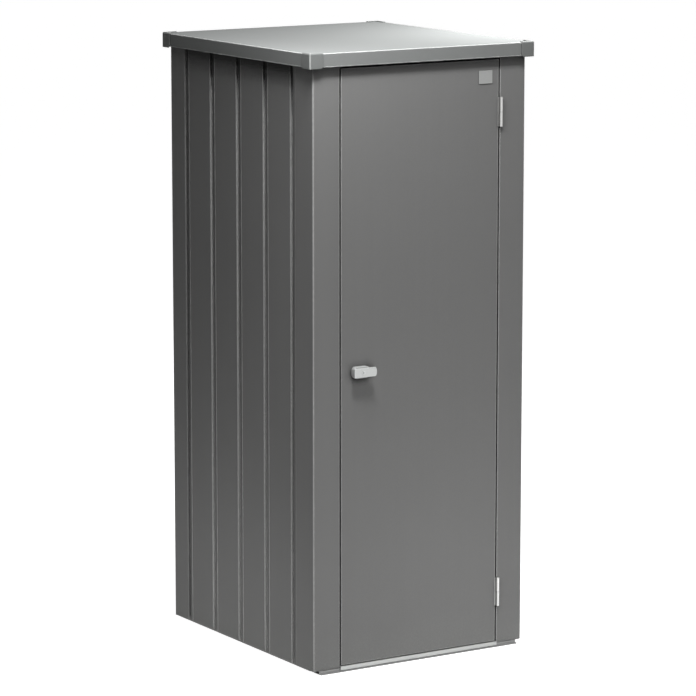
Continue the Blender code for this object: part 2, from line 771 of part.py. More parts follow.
top_rail_start = BODY_CORNER_RADIUS + WALL_SHEET + SEAT_GAP
left_rings = angle_rings(-lining_x, frame_top, TOP_RAIL_HEIGHT, TOP_RAIL_FLANGE,
                         top_rail_start, lining_y)
finish(sheet("top_left_rail", left_rings, "Y", RAIL_SHEET), "zinc", origin)
finish(sheet("top_right_rail", mirrored(left_rings), "Y", RAIL_SHEET), "zinc", origin)

rear_corners = [(lining_y - TOP_RAIL_FLANGE, frame_top, 0), (lining_y, frame_top, FOLD_RADIUS),
                (lining_y, frame_top - TOP_RAIL_HEIGHT, 0)]
rear_half = lining_x - TOP_RAIL_FLANGE - SEAT_GAP
rear_path = rounded_path(rear_corners)
finish(sheet("top_rear_rail", [(-rear_half, rear_path), (rear_half, rear_path)], "X",
             RAIL_SHEET), "zinc", origin)


# Roof

roof_half = half_width + ROOF_SIDE_OVERHANG - CAP_SHEET - SEAT_GAP
roof_front = CAP_SHEET + SEAT_GAP - ROOF_FRONT_OVERHANG
roof_back = BODY_DEPTH + ROOF_REAR_OVERHANG - CAP_SHEET - SEAT_GAP
roof = pan("roof_panel", (-roof_half, roof_front, fascia_bottom),
           (roof_half, roof_back, roof_top), (2, -1), FASCIA_RETURN, ROOF_SHEET,
           ROOF_FOLD_RADIUS)
finish(roof, "roof_grey", origin)


def hat_path(middle, face, width, depth, foot, direction):
    """A hat section from one foot over the crown to the other foot.

    face is where the feet's visible side lies, and the crown stands off it by depth in
    the given direction, +1 or -1.
    """
    half = width / 2
    crown = face + direction * depth
    return [(middle - half - foot, face), (middle - half, face), (middle - half, crown),
            (middle + half, crown), (middle + half, face), (middle + half + foot, face)]


stiffener_front = BODY_DEPTH / 2 - ROOF_STIFFENER_WIDTH / 2
stiffener_back = BODY_DEPTH / 2 + ROOF_STIFFENER_WIDTH / 2
roof_stiffener_top = roof_top - ROOF_SHEET - SEAT_GAP
channel = rounded_path([(stiffener_back, roof_stiffener_top - ROOF_STIFFENER_DEPTH, 0),
                        (stiffener_front, roof_stiffener_top - ROOF_STIFFENER_DEPTH, FOLD_RADIUS),
                        (stiffener_front, roof_stiffener_top, FOLD_RADIUS),
                        (stiffener_back, roof_stiffener_top, 0)])
finish(sheet("roof_stiffener", [(-rear_half, channel), (rear_half, channel)], "X",
             RAIL_SHEET), "zinc", origin)


def corner_cap(name, side, end):
    """A shell over one corner of the roof: two legs and a narrow flange on top."""
    outer_x = side * (half_width + ROOF_SIDE_OVERHANG)
    outer_y = -ROOF_FRONT_OVERHANG if end < 0 else BODY_DEPTH + ROOF_REAR_OVERHANG
    inner_x = outer_x - side * CAP_LEG
    inner_y = outer_y - end * CAP_LEG
    low = Vector((min(outer_x, inner_x), min(outer_y, inner_y), cap_bottom))
    high = Vector((max(outer_x, inner_x), max(outer_y, inner_y), OVERALL_HEIGHT))
    bm = bmesh.new()
    bmesh.ops.create_cube(bm, size=1)
    bmesh.ops.scale(bm, vec=high - low, verts=bm.verts)
    kept = (Vector((side, 0, 0)), Vector((0, end, 0)), Vector((0, 0, 1)))
    missing = [face for face in bm.faces if max(face.normal.dot(way) for way in kept) < 0.5]
    bmesh.ops.delete(bm, geom=missing, context="FACES")
    lower = [vertex for vertex in bm.verts if vertex.co.z < 0 and len(vertex.link_faces) == 1]
    bmesh.ops.bevel(bm, geom=lower, offset=CAP_CORNER_RADIUS, segments=CORNER_STEPS,
                    profile=0.5, affect="VERTICES")
    folds = [edge for edge in bm.edges if len(edge.link_faces) == 2]
    bmesh.ops.bevel(bm, geom=folds, offset=CAP_EDGE_RADIUS, segments=CORNER_STEPS, profile=0.5,
                    affect="EDGES")
    cap = mesh_object(name, bm)
    cap.location = (low + high) / 2
    solidify(cap, CAP_SHEET)
    flange_x = outer_x - side * CAP_FLANGE
    flange_y = outer_y - end * CAP_FLANGE
    far_x = inner_x - side * CUT_OVERRUN
    far_y = inner_y - end * CUT_OVERRUN
    cut(cap, box("cap_opening",
                 (min(flange_x, far_x), min(flange_y, far_y), cap_bottom - CUT_OVERRUN),
                 (max(flange_x, far_x), max(flange_y, far_y), OVERALL_HEIGHT + CUT_OVERRUN)))
    return cap


for depth_name, end in (("front", -1), ("rear", 1)):
    for side_name, side in (("left", -1), ("right", 1)):
        cap = corner_cap("corner_cap_" + depth_name + "_" + side_name, side, end)
        finish(cap, "roof_grey", origin)


# Door

door = pan("door_panel", (-door_half, 0, DOOR_BOTTOM), (door_half, DOOR_DEPTH, door_top),
           (1, 1), DOOR_LIP, DOOR_SHEET, FOLD_RADIUS)
bush_radius = SPINDLE_SIDE * math.sqrt(0.5) + RUNNING_GAP + BUSH_WALL
cut(door, cylinder("spindle_hole", (spindle_x, 0, SPINDLE_Z), bush_radius + SEAT_GAP,
                   2 * CUT_OVERRUN, "Y", collection=cutter_collection))
cut(door, rod_hole(upper_rod_x, door_top - CUT_OVERRUN, door_top + CUT_OVERRUN))
cut(door, rod_hole(lower_rod_x, DOOR_BOTTOM - CUT_OVERRUN, DOOR_BOTTOM + CUT_OVERRUN))
finish(door, "graphite", door_pivot)

skin_back = DOOR_SHEET + SEAT_GAP
for side_name, share in STIFFENER_SHARES.items():
    path = hat_path(share * door_half, skin_back + DOOR_SHEET, STIFFENER_WIDTH,
                    STIFFENER_DEPTH - DOOR_SHEET, STIFFENER_FOOT, 1)
    rings = [(DOOR_BOTTOM + STIFFENER_END_GAP, path), (door_top - STIFFENER_END_GAP, path)]
    finish(sheet("door_stiffener_" + side_name, rings, "Z", DOOR_SHEET), "graphite", door_pivot,
           smooth=False)

badge_right = door_half - BADGE_EDGE_GAP
badge_top = door_top - BADGE_TOP_GAP


def rounded_rectangle(left, low, right, top, radius, steps=CORNER_STEPS):
    """Corner points of a rectangle with rounded corners."""
    points = []
    for quarter, (x, z) in enumerate(((right - radius, top - radius), (left + radius, top - radius),
                                      (left + radius, low + radius),
                                      (right - radius, low + radius))):
        for step in range(steps + 1):
            angle = math.radians(90) * (quarter + step / steps)
            points.append((x + radius * math.cos(angle), z + radius * math.sin(angle)))
    return points


badge_outline = rounded_rectangle(badge_right - BADGE_WIDTH, badge_top - BADGE_HEIGHT,
                                  badge_right, badge_top, BADGE_CORNER_RADIUS)
badge = bar("badge_plate", badge_outline, -BADGE_THICKNESS, -SEAT_GAP, "Y")
round_edges(badge, SEAT_GAP)
finish(badge, "badge", door_pivot)


# Hinges

def turned(name, profile, centre, ring=False):
    """A piece turned about an upright axis from (radius, height) points, top to bottom."""
    bm = bmesh.new()
    points = [bm.verts.new((radius, 0, height)) for radius, height in profile]
    if ring:
        points.append(points[0])
    for upper, lower in zip(points, points[1:]):
        bm.edges.new((upper, lower))
    part = mesh_object(name, bm)
    part.location = centre
    screw = part.modifiers.new("turned", "SCREW")
    screw.steps = ROUND_SIDES
    screw.render_steps = ROUND_SIDES
    screw.use_merge_vertices = True
    screw.merge_threshold = MERGE_DISTANCE
    return part


knuckle_length = (HINGE_LENGTH - WASHER_THICKNESS) / 2 - SEAT_GAP - PIN_HEAD_HEIGHT - SEAT_GAP
jamb_face = opening_half - SEAT_GAP
door_edge = door_half + SEAT_GAP
bore_radius = PIN_RADIUS + SEAT_GAP


def hinge_pin(name, middle):
    """A plain pin with a low domed head at each end."""
    half = HINGE_LENGTH / 2
    neck = half - PIN_HEAD_HEIGHT
    dome = [(PIN_HEAD_RADIUS * math.cos(angle), neck + PIN_HEAD_HEIGHT * math.sin(angle))
            for angle in (math.radians(90 * step / CORNER_STEPS) for step in range(CORNER_STEPS))]
    upper = [(0, half)] + dome[::-1] + [(PIN_RADIUS, neck)]
    profile = upper + [(radius, -height) for radius, height in reversed(upper)]
    return turned(name, profile, (hinge_axis_x, hinge_axis_y, middle))


def hinge(place_name, middle, outward):
    """One outside hinge.  outward is +1 where the frame's knuckle is the upper one."""
    washer_half = WASHER_THICKNESS / 2 + SEAT_GAP
    frame_middle = middle + outward * (washer_half + knuckle_length / 2)
    door_middle = middle - outward * (washer_half + knuckle_length / 2)
    leaf_half = washer_half + knuckle_length - SEAT_GAP
    bridge_half = knuckle_length / 2 - SEAT_GAP
    axis_place = Vector((hinge_axis_x, hinge_axis_y, 0))
    up = Vector((0, 0, 1))

    frame_leaf = cylinder(place_name + "_hinge_frame_leaf", axis_place + up * frame_middle,
                          BARREL_RADIUS, knuckle_length, "Z")
    outer_end = middle + outward * leaf_half
    inner_end = middle - outward * leaf_half
    step = frame_middle - outward * bridge_half
    plate = [(SEAT_GAP, inner_end), (LEAF_DEPTH, inner_end), (LEAF_DEPTH, outer_end),
             (hinge_axis_y, outer_end), (hinge_axis_y, step), (SEAT_GAP, step)]
    join(frame_leaf, bar("leaf_plate", plate, jamb_face - LEAF_SHEET, jamb_face, "X"))

    door_leaf = cylinder(place_name + "_hinge_door_leaf", axis_place + up * door_middle,
                         BARREL_RADIUS, knuckle_length, "Z")
    front = -SEAT_GAP - LEAF_SHEET
    folded = [(door_edge - LEAF_FRONT_STRIP, front), (door_edge + LEAF_SHEET, front),
              (door_edge + LEAF_SHEET, LEAF_DEPTH), (door_edge, LEAF_DEPTH),
              (door_edge, -SEAT_GAP), (door_edge - LEAF_FRONT_STRIP, -SEAT_GAP)]
    join(door_leaf, bar("leaf_fold", folded, middle - leaf_half, middle + leaf_half, "Z"))
    join(door_leaf, box("bridge", (door_edge + LEAF_SHEET / 2, hinge_axis_y - LEAF_SHEET,
                                   door_middle - bridge_half),
                        (hinge_axis_x - bore_radius / 2, -2 * SEAT_GAP,
                         door_middle + bridge_half)))
    for leaf, leaf_middle in ((frame_leaf, frame_middle), (door_leaf, door_middle)):
        cut(leaf, cylinder("bore", axis_place + up * leaf_middle, bore_radius,
                           knuckle_length + CUT_OVERRUN, "Z", collection=cutter_collection))
    finish(frame_leaf, "silver", origin)
    finish(door_leaf, "silver", door_pivot)
    finish(hinge_pin(place_name + "_hinge_pin", middle), "silver", origin)
    ring = [(BARREL_RADIUS, WASHER_THICKNESS / 2), (BARREL_RADIUS, -WASHER_THICKNESS / 2),
            (bore_radius, -WASHER_THICKNESS / 2), (bore_radius, WASHER_THICKNESS / 2)]
    washer = turned(place_name + "_hinge_washer", ring, axis_place + up * middle, ring=True)
    finish(washer, "zinc", origin)


hinge("upper", upper_hinge_z, 1)
hinge("lower", lower_hinge_z, -1)


# Handle and lock

def lever_outline():
    """The lever about its spindle, seen from the front: a bar with a bowed end."""
    half = LEVER_HEIGHT / 2
    radius = (half * half + LEVER_END_BULGE * LEVER_END_BULGE) / (2 * LEVER_END_BULGE)
    spread = math.asin(half / radius)
    points = [(-LEVER_LEFT, half), (-LEVER_LEFT, -half)]
    for step in range(END_BULGE_STEPS + 1):
        angle = -spread + 2 * spread * step / END_BULGE_STEPS
        points.append((LEVER_RIGHT - radius + radius * math.cos(angle),
                       radius * math.sin(angle)))
    return points


hub_bore = HUB_RADIUS + RUNNING_GAP
rose_outline = rounded_rectangle(spindle_x - ROSE_LENGTH / 2, SPINDLE_Z - ROSE_HEIGHT / 2,
                                 spindle_x + ROSE_LENGTH / 2, SPINDLE_Z + ROSE_HEIGHT / 2,
                                 ROSE_CORNER_RADIUS)
rose = bar("handle_rose", rose_outline, -SEAT_GAP - ROSE_DEPTH, -SEAT_GAP, "Y")
round_edges(rose, ROSE_EDGE_RADIUS)
cut(rose, cylinder("hub_bore", (spindle_x, -ROSE_DEPTH / 2, SPINDLE_Z), hub_bore,
                   ROSE_DEPTH + 2 * CUT_OVERRUN, "Y", collection=cutter_collection))
finish(rose, "silver", door_pivot)

hub_front = lever_back - LEVER_THICKNESS / 4
hub_back = -HUB_END_GAP
lever = bar("lever", lever_outline(), lever_front, lever_back, "Y")
lever.location += Vector((spindle_x, 0, SPINDLE_Z))
round_edges(lever, LEVER_EDGE_RADIUS)
join(lever, cylinder("hub", (spindle_x, (hub_front + hub_back) / 2, SPINDLE_Z), HUB_RADIUS,
                     hub_back - hub_front, "Y"))
socket_half = SPINDLE_SIDE / 2 + SEAT_GAP
spindle_front = lever_back - SPINDLE_ENTRY
cut(lever, box("spindle_socket",
               (spindle_x - socket_half, spindle_front - SEAT_GAP, SPINDLE_Z - socket_half),
               (spindle_x + socket_half, CUT_OVERRUN, SPINDLE_Z + socket_half)))
plug_bore_back = lever_front + PLUG_DEPTH + SEAT_GAP
cut(lever, cylinder("plug_bore", (spindle_x, (lever_front - CUT_OVERRUN + plug_bore_back) / 2,
                                  SPINDLE_Z), PLUG_RADIUS + SEAT_GAP,
                    plug_bore_back - lever_front + CUT_OVERRUN, "Y",
                    collection=cutter_collection))
finish(lever, "silver", handle_pivot)

plug_front = lever_front - PLUG_PROUD
plug_back = lever_front + PLUG_DEPTH
plug = cylinder("lock_plug", (spindle_x, (plug_front + plug_back) / 2, SPINDLE_Z), PLUG_RADIUS,
                plug_back - plug_front, "Y")
round_edges(plug, SEAT_GAP)
cut(plug, box("keyway", (spindle_x - KEYWAY_WIDTH / 2, plug_front - CUT_OVERRUN,
                         SPINDLE_Z - KEYWAY_HEIGHT / 2),
              (spindle_x + KEYWAY_WIDTH / 2, plug_front + KEYWAY_DEPTH,
               SPINDLE_Z + KEYWAY_HEIGHT / 2)))
finish(plug, "silver", handle_pivot)

cam_back = CAM_FACE_DEPTH + CAM_THICKNESS
spindle_half = SPINDLE_SIDE / 2
spindle = box("spindle", (spindle_x - spindle_half, spindle_front, SPINDLE_Z - spindle_half),
              (spindle_x + spindle_half, cam_back, SPINDLE_Z + spindle_half))
join(spindle, cylinder("threaded_end", (spindle_x, cam_back, SPINDLE_Z), SPINDLE_END_RADIUS,
                       2 * SPINDLE_END_LENGTH, "Y"))
finish(spindle, "zinc", handle_pivot)

bush = cylinder("spindle_bush", (spindle_x, 0, SPINDLE_Z), bush_radius, 2 * BUSH_REACH, "Y")
join(bush, cylinder("flange", (spindle_x, skin_back + BUSH_WALL / 2, SPINDLE_Z),
                    bush_radius + BUSH_FLANGE, BUSH_WALL, "Y"))
cut(bush, cylinder("spindle_bore", (spindle_x, 0, SPINDLE_Z), bush_radius - BUSH_WALL,
                   2 * BUSH_REACH + 2 * CUT_OVERRUN, "Y", collection=cutter_collection))
finish(bush, "nylon", door_pivot)

cam = cylinder("cam_disc", (spindle_x, CAM_FACE_DEPTH + CAM_THICKNESS / 2, SPINDLE_Z),
               CAM_RADIUS, CAM_THICKNESS, "Y", sides=2 * ROUND_SIDES)
pin_back = ROD_FACE_DEPTH + ROD_THICKNESS + RUNNING_GAP
for angle in (math.radians(180) + CAM_PIN_START_ANGLE, CAM_PIN_START_ANGLE):
    pin_x = spindle_x + CAM_PIN_CIRCLE * math.cos(angle)
    pin_z = SPINDLE_Z + CAM_PIN_CIRCLE * math.sin(angle)
    pin_front = CAM_FACE_DEPTH + CAM_THICKNESS / 2
    join(cam, cylinder("drive_pin", (pin_x, (pin_front + pin_back) / 2, pin_z), CAM_PIN_RADIUS,
                       pin_back - pin_front, "Y", sides=PIN_SIDES))
cut(cam, box("spindle_square", (spindle_x - socket_half, CAM_FACE_DEPTH - CUT_OVERRUN,
                                SPINDLE_Z - socket_half),
             (spindle_x + socket_half, cam_back + CUT_OVERRUN, SPINDLE_Z + socket_half)))
finish(cam, "zinc", handle_pivot)

pin_offset = CAM_PIN_CIRCLE * math.sin(CAM_PIN_START_ANGLE)
slot_inner = CAM_PIN_CIRCLE * math.cos(CAM_PIN_START_ANGLE) - CAM_PIN_RADIUS - YOKE_CLEARANCE
slot_outer = CAM_PIN_CIRCLE + CAM_PIN_RADIUS + YOKE_CLEARANCE
slot_half = CAM_PIN_RADIUS + YOKE_CLEARANCE
rod_back = ROD_FACE_DEPTH + ROD_THICKNESS
rod_travel = 2 * CAM_PIN_CIRCLE * math.sin(CAM_PIN_START_ANGLE)
rod_tip_length = rod_travel + ROD_SHOULDER_GAP


def locking_rod(name, side, tip):
    """A flat rod with a slotted yoke round its cam pin and a narrow tip.

    side is -1 for the rod left of the spindle, which goes up, and +1 for the right one.
    The tip is longer than the rod's travel, so its shoulder stays inside the door.
    """
    way = -side
    yoke_z = SPINDLE_Z + side * pin_offset
    x = spindle_x + side * CAM_PIN_CIRCLE
    inner = spindle_x + side * (slot_inner - YOKE_INNER_WALL)
    outer = spindle_x + side * (slot_outer + YOKE_ARM)
    half_height = slot_half + YOKE_ARM
    rod = box(name, (min(inner, outer), ROD_FACE_DEPTH, yoke_z - half_height),
              (max(inner, outer), rod_back, yoke_z + half_height))
    shoulder = tip - way * rod_tip_length
    ends = sorted((yoke_z + way * (slot_half + YOKE_ARM / 4), shoulder))
    join(rod, box("shank", (x - ROD_WIDTH / 2, ROD_FACE_DEPTH, ends[0]),
                  (x + ROD_WIDTH / 2, rod_back, ends[1])))
    ends = sorted((shoulder - way * ROD_TIP_WIDTH, tip))
    join(rod, box("tip", (x - ROD_TIP_WIDTH / 2, ROD_FACE_DEPTH, ends[0]),
                  (x + ROD_TIP_WIDTH / 2, rod_back, ends[1])))
    ends = sorted((spindle_x + side * slot_inner, spindle_x + side * slot_outer))
    cut(rod, box("pin_slot", (ends[0], ROD_FACE_DEPTH - CUT_OVERRUN, yoke_z - slot_half),
                 (ends[1], rod_back + CUT_OVERRUN, yoke_z + slot_half)))
    return rod


finish(locking_rod("upper_lock_rod", -1, door_top - SEAT_GAP), "zinc", upper_rod_pivot,
       smooth=False)
finish(locking_rod("lower_lock_rod", 1, DOOR_BOTTOM + LOWER_ROD_BOTTOM_GAP), "zinc",
       lower_rod_pivot, smooth=False)


def rod_guide(name, x, height):
    """A moulded block on the door skin with a slot that the rod slides through."""
    guide = box(name, (x - GUIDE_WIDTH / 2, skin_back, height - GUIDE_HEIGHT / 2),
                (x + GUIDE_WIDTH / 2, GUIDE_DEPTH, height + GUIDE_HEIGHT / 2), GUIDE_EDGE_RADIUS)
    half = ROD_WIDTH / 2 + RUNNING_GAP
    cut(guide, box("slide", (x - half, ROD_FACE_DEPTH - RUNNING_GAP, height - GUIDE_HEIGHT),
                   (x + half, rod_back + RUNNING_GAP, height + GUIDE_HEIGHT)))
    finish(guide, "nylon", door_pivot)


for place_name, share in GUIDE_PLACE_SHARES.items():
    rod_guide("upper_rod_guide_" + place_name, upper_rod_x,
              SPINDLE_Z + share * (door_top - SPINDLE_Z))
    rod_guide("lower_rod_guide_" + place_name, lower_rod_x,
              SPINDLE_Z + share * (DOOR_BOTTOM - SPINDLE_Z))
case_foot = skin_back + LOCK_CASE_SHEET
case_path = hat_path(spindle_x, case_foot, LOCK_CASE_WIDTH, LOCK_CASE_DEPTH - LOCK_CASE_SHEET,
                     LOCK_CASE_FOOT, 1)
case_low = SPINDLE_Z - LOCK_CASE_HEIGHT / 2
case_high = SPINDLE_Z + LOCK_CASE_HEIGHT / 2
lock_case = sheet("lock_case", [(case_low, case_path), (case_high, case_path)], "Z",
                  LOCK_CASE_SHEET)
finish(lock_case, "zinc", door_pivot, smooth=False)


def strike_plate(name, x, low):
    """A steel plate round the slot that takes a rod's tip."""
    plate = box(name, (x - STRIKE_LENGTH / 2, STRIKE_FRONT, low),
                (x + STRIKE_LENGTH / 2, STRIKE_FRONT + STRIKE_WIDTH, low + STRIKE_SHEET))
    cut(plate, rod_hole(x, low - CUT_OVERRUN, low + STRIKE_SHEET + CUT_OVERRUN))
    return finish(plate, "zinc", origin, smooth=False)


strike_plate("upper_strike_plate", upper_rod_x, header_bottom + WALL_SHEET + SEAT_GAP)
strike_plate("lower_strike_plate", lower_rod_x, BASE_HEIGHT + SEAT_GAP)

for place_name, share in BUFFER_HEIGHT_SHARES.items():
    centre = (STOP_LIP_WIDTH / 2 - opening_half, (DOOR_DEPTH + STOP_FACE) / 2,
              DOOR_BOTTOM + share * door_height)
    door_buffer = cylinder("door_buffer_" + place_name, centre, BUFFER_RADIUS,
                           STOP_FACE - DOOR_DEPTH - 2 * SEAT_GAP, "Y", sides=PIN_SIDES)
    finish(door_buffer, "rubber", origin)


# Shelf and tool rail

shelf_front = lining_y - SHELF_DEPTH
shelf_corners = [(shelf_front + SHELF_LIP, SHELF_TOP - SHELF_EDGE, 0),
                 (shelf_front, SHELF_TOP - SHELF_EDGE, FOLD_RADIUS),
                 (shelf_front, SHELF_TOP, FOLD_RADIUS), (lining_y, SHELF_TOP, FOLD_RADIUS),
                 (lining_y, SHELF_TOP - SHELF_EDGE, 0)]
shelf_path = rounded_path(shelf_corners)
finish(sheet("shelf", [(-lining_x, shelf_path), (lining_x, shelf_path)], "X", FLOOR_SHEET),
       "graphite", origin)

bracket_top = SHELF_TOP - FLOOR_SHEET - SEAT_GAP
bracket_rings = angle_rings(-lining_x, bracket_top, SHELF_BRACKET_LEG, SHELF_BRACKET_LEG,
                            shelf_front + SHELF_LIP + RUNNING_GAP,
                            lining_y - FLOOR_SHEET - FOLD_RADIUS)
finish(sheet("shelf_bracket_left", bracket_rings, "Y", RAIL_SHEET), "zinc", origin)
finish(sheet("shelf_bracket_right", mirrored(bracket_rings), "Y", RAIL_SHEET), "zinc", origin)

rail_face = lining_y - RAIL_SHEET
rail_low = TOOL_RAIL_HEIGHT - TOOL_RAIL_FACE / 2
rail_high = TOOL_RAIL_HEIGHT + TOOL_RAIL_FACE / 2
rail_crown = rail_face - TOOL_RAIL_DEPTH
tool_rail_path = [(rail_face, rail_low - TOOL_RAIL_FOOT), (rail_face, rail_low),
                  (rail_crown, rail_low), (rail_crown, rail_high), (rail_face, rail_high),
                  (rail_face, rail_high + TOOL_RAIL_FOOT)]
tool_rail_half = lining_x - TOOL_RAIL_END_GAP
finish(sheet("tool_rail", [(-tool_rail_half, tool_rail_path), (tool_rail_half, tool_rail_path)],
             "X", RAIL_SHEET), "zinc", origin, smooth=False)


def hook_prong(x, plate_front):
    """One wire of a tool hook: out from the plate, then up."""
    curve = bpy.data.curves.new("hook_prong", "CURVE")
    curve.dimensions = "3D"
    curve.bevel_depth = HOOK_WIRE_RADIUS
    curve.bevel_resolution = 2
    curve.use_fill_caps = True
    corners = [(plate_front + HOOK_PLATE_SHEET / 2, TOOL_RAIL_HEIGHT, 0),
               (plate_front - HOOK_REACH, TOOL_RAIL_HEIGHT, HOOK_BEND_RADIUS),
               (plate_front - HOOK_REACH, TOOL_RAIL_HEIGHT + HOOK_TIP_RISE, 0)]
    path = rounded_path(corners, CORNER_STEPS)
    spline = curve.splines.new("POLY")
    spline.points.add(len(path) - 1)
    for point, (y, z) in zip(spline.points, path):
        point.co = (x, y, z, 1)
    part = bpy.data.objects.new("hook_prong", curve)
    cabinet_collection.objects.link(part)
    return curve_to_mesh(part)


def tool_hook(name, x):
    """A plate on the tool rail with two upturned wires."""
    plate_back = rail_crown - SEAT_GAP
    plate_front = plate_back - HOOK_PLATE_SHEET
    hook = box(name, (x - HOOK_PLATE_WIDTH / 2, plate_front,
                      TOOL_RAIL_HEIGHT - HOOK_PLATE_HEIGHT / 2),
               (x + HOOK_PLATE_WIDTH / 2, plate_back, TOOL_RAIL_HEIGHT + HOOK_PLATE_HEIGHT / 2))
    for side in (-1, 1):
        join(hook, hook_prong(x + side * HOOK_SPACING / 2, plate_front))
    return hook


for side_name, share in HOOK_PLACE_SHARES.items():
    finish(tool_hook("tool_hook_" + side_name, share * tool_rail_half), "zinc", origin)
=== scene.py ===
"""Looks of the metal garden tool cabinet: finishes, small fasteners, light and camera.

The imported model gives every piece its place.  Each of its pieces is re-made here with
finer edges, only the screws, rivets and spindle nut are modelled here, and all of them
ride on the model's bodies.  Lengths are in metres.
"""
import math

import bmesh
import bpy
from mathutils import Matrix, Vector


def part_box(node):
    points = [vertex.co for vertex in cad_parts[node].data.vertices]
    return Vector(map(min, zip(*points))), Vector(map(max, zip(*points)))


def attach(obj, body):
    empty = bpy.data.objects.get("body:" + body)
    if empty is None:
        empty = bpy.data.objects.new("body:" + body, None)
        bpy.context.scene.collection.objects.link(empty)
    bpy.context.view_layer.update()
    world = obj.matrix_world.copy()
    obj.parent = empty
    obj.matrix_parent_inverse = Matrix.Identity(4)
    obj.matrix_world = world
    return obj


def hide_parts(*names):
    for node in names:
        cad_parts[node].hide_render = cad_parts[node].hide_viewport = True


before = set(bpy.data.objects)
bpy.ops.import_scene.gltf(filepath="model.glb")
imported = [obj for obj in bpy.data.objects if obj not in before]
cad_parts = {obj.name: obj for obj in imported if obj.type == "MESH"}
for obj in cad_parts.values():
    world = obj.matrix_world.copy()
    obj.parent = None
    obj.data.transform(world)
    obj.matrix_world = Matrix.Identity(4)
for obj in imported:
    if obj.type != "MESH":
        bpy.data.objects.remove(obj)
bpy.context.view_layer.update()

MM = 0.001

# Edges and welds
WELD = 0.01 * MM
SHEET_EDGE = 0.35 * MM
RAIL_EDGE = 0.4 * MM
CAP_EDGE = 0.7 * MM
WASHER_EDGE = 0.01 * MM
EDGE_STEPS = 2
EDGE_ANGLE = math.radians(28)
FLAT_ANGLE = math.radians(0.4)

# Noise patterns: scale per metre, detail and, where it isn't a half, roughness
ROLLED_STREAKS = (1.0, 3.0)
BROAD_CLOUDS = (2.3, 3.0)
GLOSS_SMEARS = (14.0, 4.0, 0.6)
ORANGE_PEEL = (420.0, 1.0)
EDGE_CHIPS = (90.0, 4.0, 0.65)
DUST_RAGS = (9.0, 5.0, 0.6)
SPLASH_DROPS = (160.0, 3.0, 0.7)
GRAIN_LINES = (1.0, 3.0, 0.6)
METAL_STAINS = (11.0, 4.0, 0.6)
ZINC_FROST = (260.0, 3.0)
NYLON_SKIN = (600.0, 3.0)
RUBBER_SKIN = (900.0, 3.0)

# Bumps: depth and strength
PAINT_RELIEF = (0.02 * MM, 0.35)
GRAIN_RELIEF = (0.02 * MM, 0.4)
ZINC_RELIEF = (0.03 * MM, 0.3)
SKIN_RELIEF = (0.03 * MM, 0.5)

# Paint, dust, metal and mouldings
FLECK_SCALE = 1500.0
STREAK_STRETCH = (70.0, 70.0, 1.1)
SMEAR_SHIFT = 0.12
EDGE_HIGHLIGHT_GAIN = 2.6
DUST_TONE = (0.30, 0.31, 0.29, 1)
DUST_LOWEST = 20 * MM
DROP_RANGE = (0.45, 0.62)
DROP_SHARE = 0.6
SPANGLE_SCALE = 110.0
SPANGLE_WARP_SCALE = 60.0
SPANGLE_WARP_SHARE = 0.012
SPANGLE_ROUGHNESS = 0.3
SPANGLE_ROUGHNESS_SWING = 0.18
ZINC_METALLIC = 0.55
ZINC_WEAR_AND_HIGHLIGHT = 0.35
ZINC_EDGE_HIGHLIGHT_GAIN = 1.4
METAL_BREAKS = 0.3
METAL_UNLIT_SIDE = 0.4
METAL_DARKEST = 0.15
SKIN_RANGE = (0.3, 0.7)
SKIN_SHADE = (0.8, 1.2)
SKIN_ROUGHNESS_SWING = 0.06
SCUFF_AND_HIGHLIGHT_LIGHTER = 0.10

# Edges lightened as painted highlight on the side that the lamps light, mixed with wear: fold
# widths, and the ranges over which a mask rises
FOLD_SHINE = 3.5 * MM
POST_FOLD_SHINE = 5.0 * MM
WALL_FOLD_SHINE = 7.0 * MM
ZINC_EDGE = 0.7 * MM
MOULDING_EDGE = 0.6 * MM
FOLD_TURN = (0.006, 0.05)
SLANTED_FACE = (0.41, 0.48)
CHIP_RANGE = (0.42, 0.6)
# The side that the lamps light: folds facing it get the painted highlight.
LIT_SIDE = Vector((-0.5, -0.6, 0.62))
LIT_SIDE_RANGE = (0.1, 0.6)
CAP_OUTWARD = (0.45, 0.95)
BEVEL_SAMPLES = 4

# Shade in gaps and under the eaves
SHADE_REACH = 30 * MM
CAP_REACH = 8 * MM
METAL_REACH = 8 * MM
ALUMINIUM_REACH = 2 * MM
SHADE_SAMPLES = 6
SKY_LEAN = 0.8
EAVES_REACH = 70 * MM
EAVES_LEAN = 2.0
EAVES_HEIGHTS = (1.60, 1.72)
EAVES_CLOSED = 0.53
EAVES_OPEN = 0.62

# Hinges: where the barrel's tone gives way to the leaves'
HINGE_AXIS = Vector((280 * MM, -412.3 * MM, 0))
BARREL_RADIUS = 4.2 * MM
BARREL_TO_LEAF = (BARREL_RADIUS + 0.2 * MM, BARREL_RADIUS + 0.8 * MM)

# The photograph's view
VIEW_AZIMUTH = math.radians(-32.11)
VIEW_ELEVATION = math.radians(9.93)
CAMERA_PLACE = Vector((-5.672, -9.048, 2.749))
FOCAL_LENGTH = 184.9
SENSOR_WIDTH = 36.0


# Node helpers

# A Mix node's places for two colours and their blend
FIRST_COLOUR, SECOND_COLOUR, BLEND = 6, 7, 2


def fill(tree, item, values):
    """Set a node's inputs, or link them where the value is another node's output."""
    for key, value in values.items():
        if isinstance(value, bpy.types.NodeSocket):
            tree.links.new(value, item.inputs[key])
        else:
            item.inputs[key].default_value = value


def add_node(tree, kind, sockets=None, family="ShaderNode", **settings):
    """Add a node, set its properties, and fill its inputs."""
    item = tree.nodes.new(family + kind)
    for key, value in settings.items():
        setattr(item, key, value)
    fill(tree, item, sockets or {})
    return item


def maths(tree, operation, first, second=0.0, clamp=False):
    return add_node(tree, "Math", {0: first, 1: second}, operation=operation,
                    use_clamp=clamp).outputs[0]


def plus(tree, first, second):
    return maths(tree, "ADD", first, second)


def times(tree, first, second):
    return maths(tree, "MULTIPLY", first, second)


def inverse(tree, mask):
    return maths(tree, "SUBTRACT", 1.0, mask)


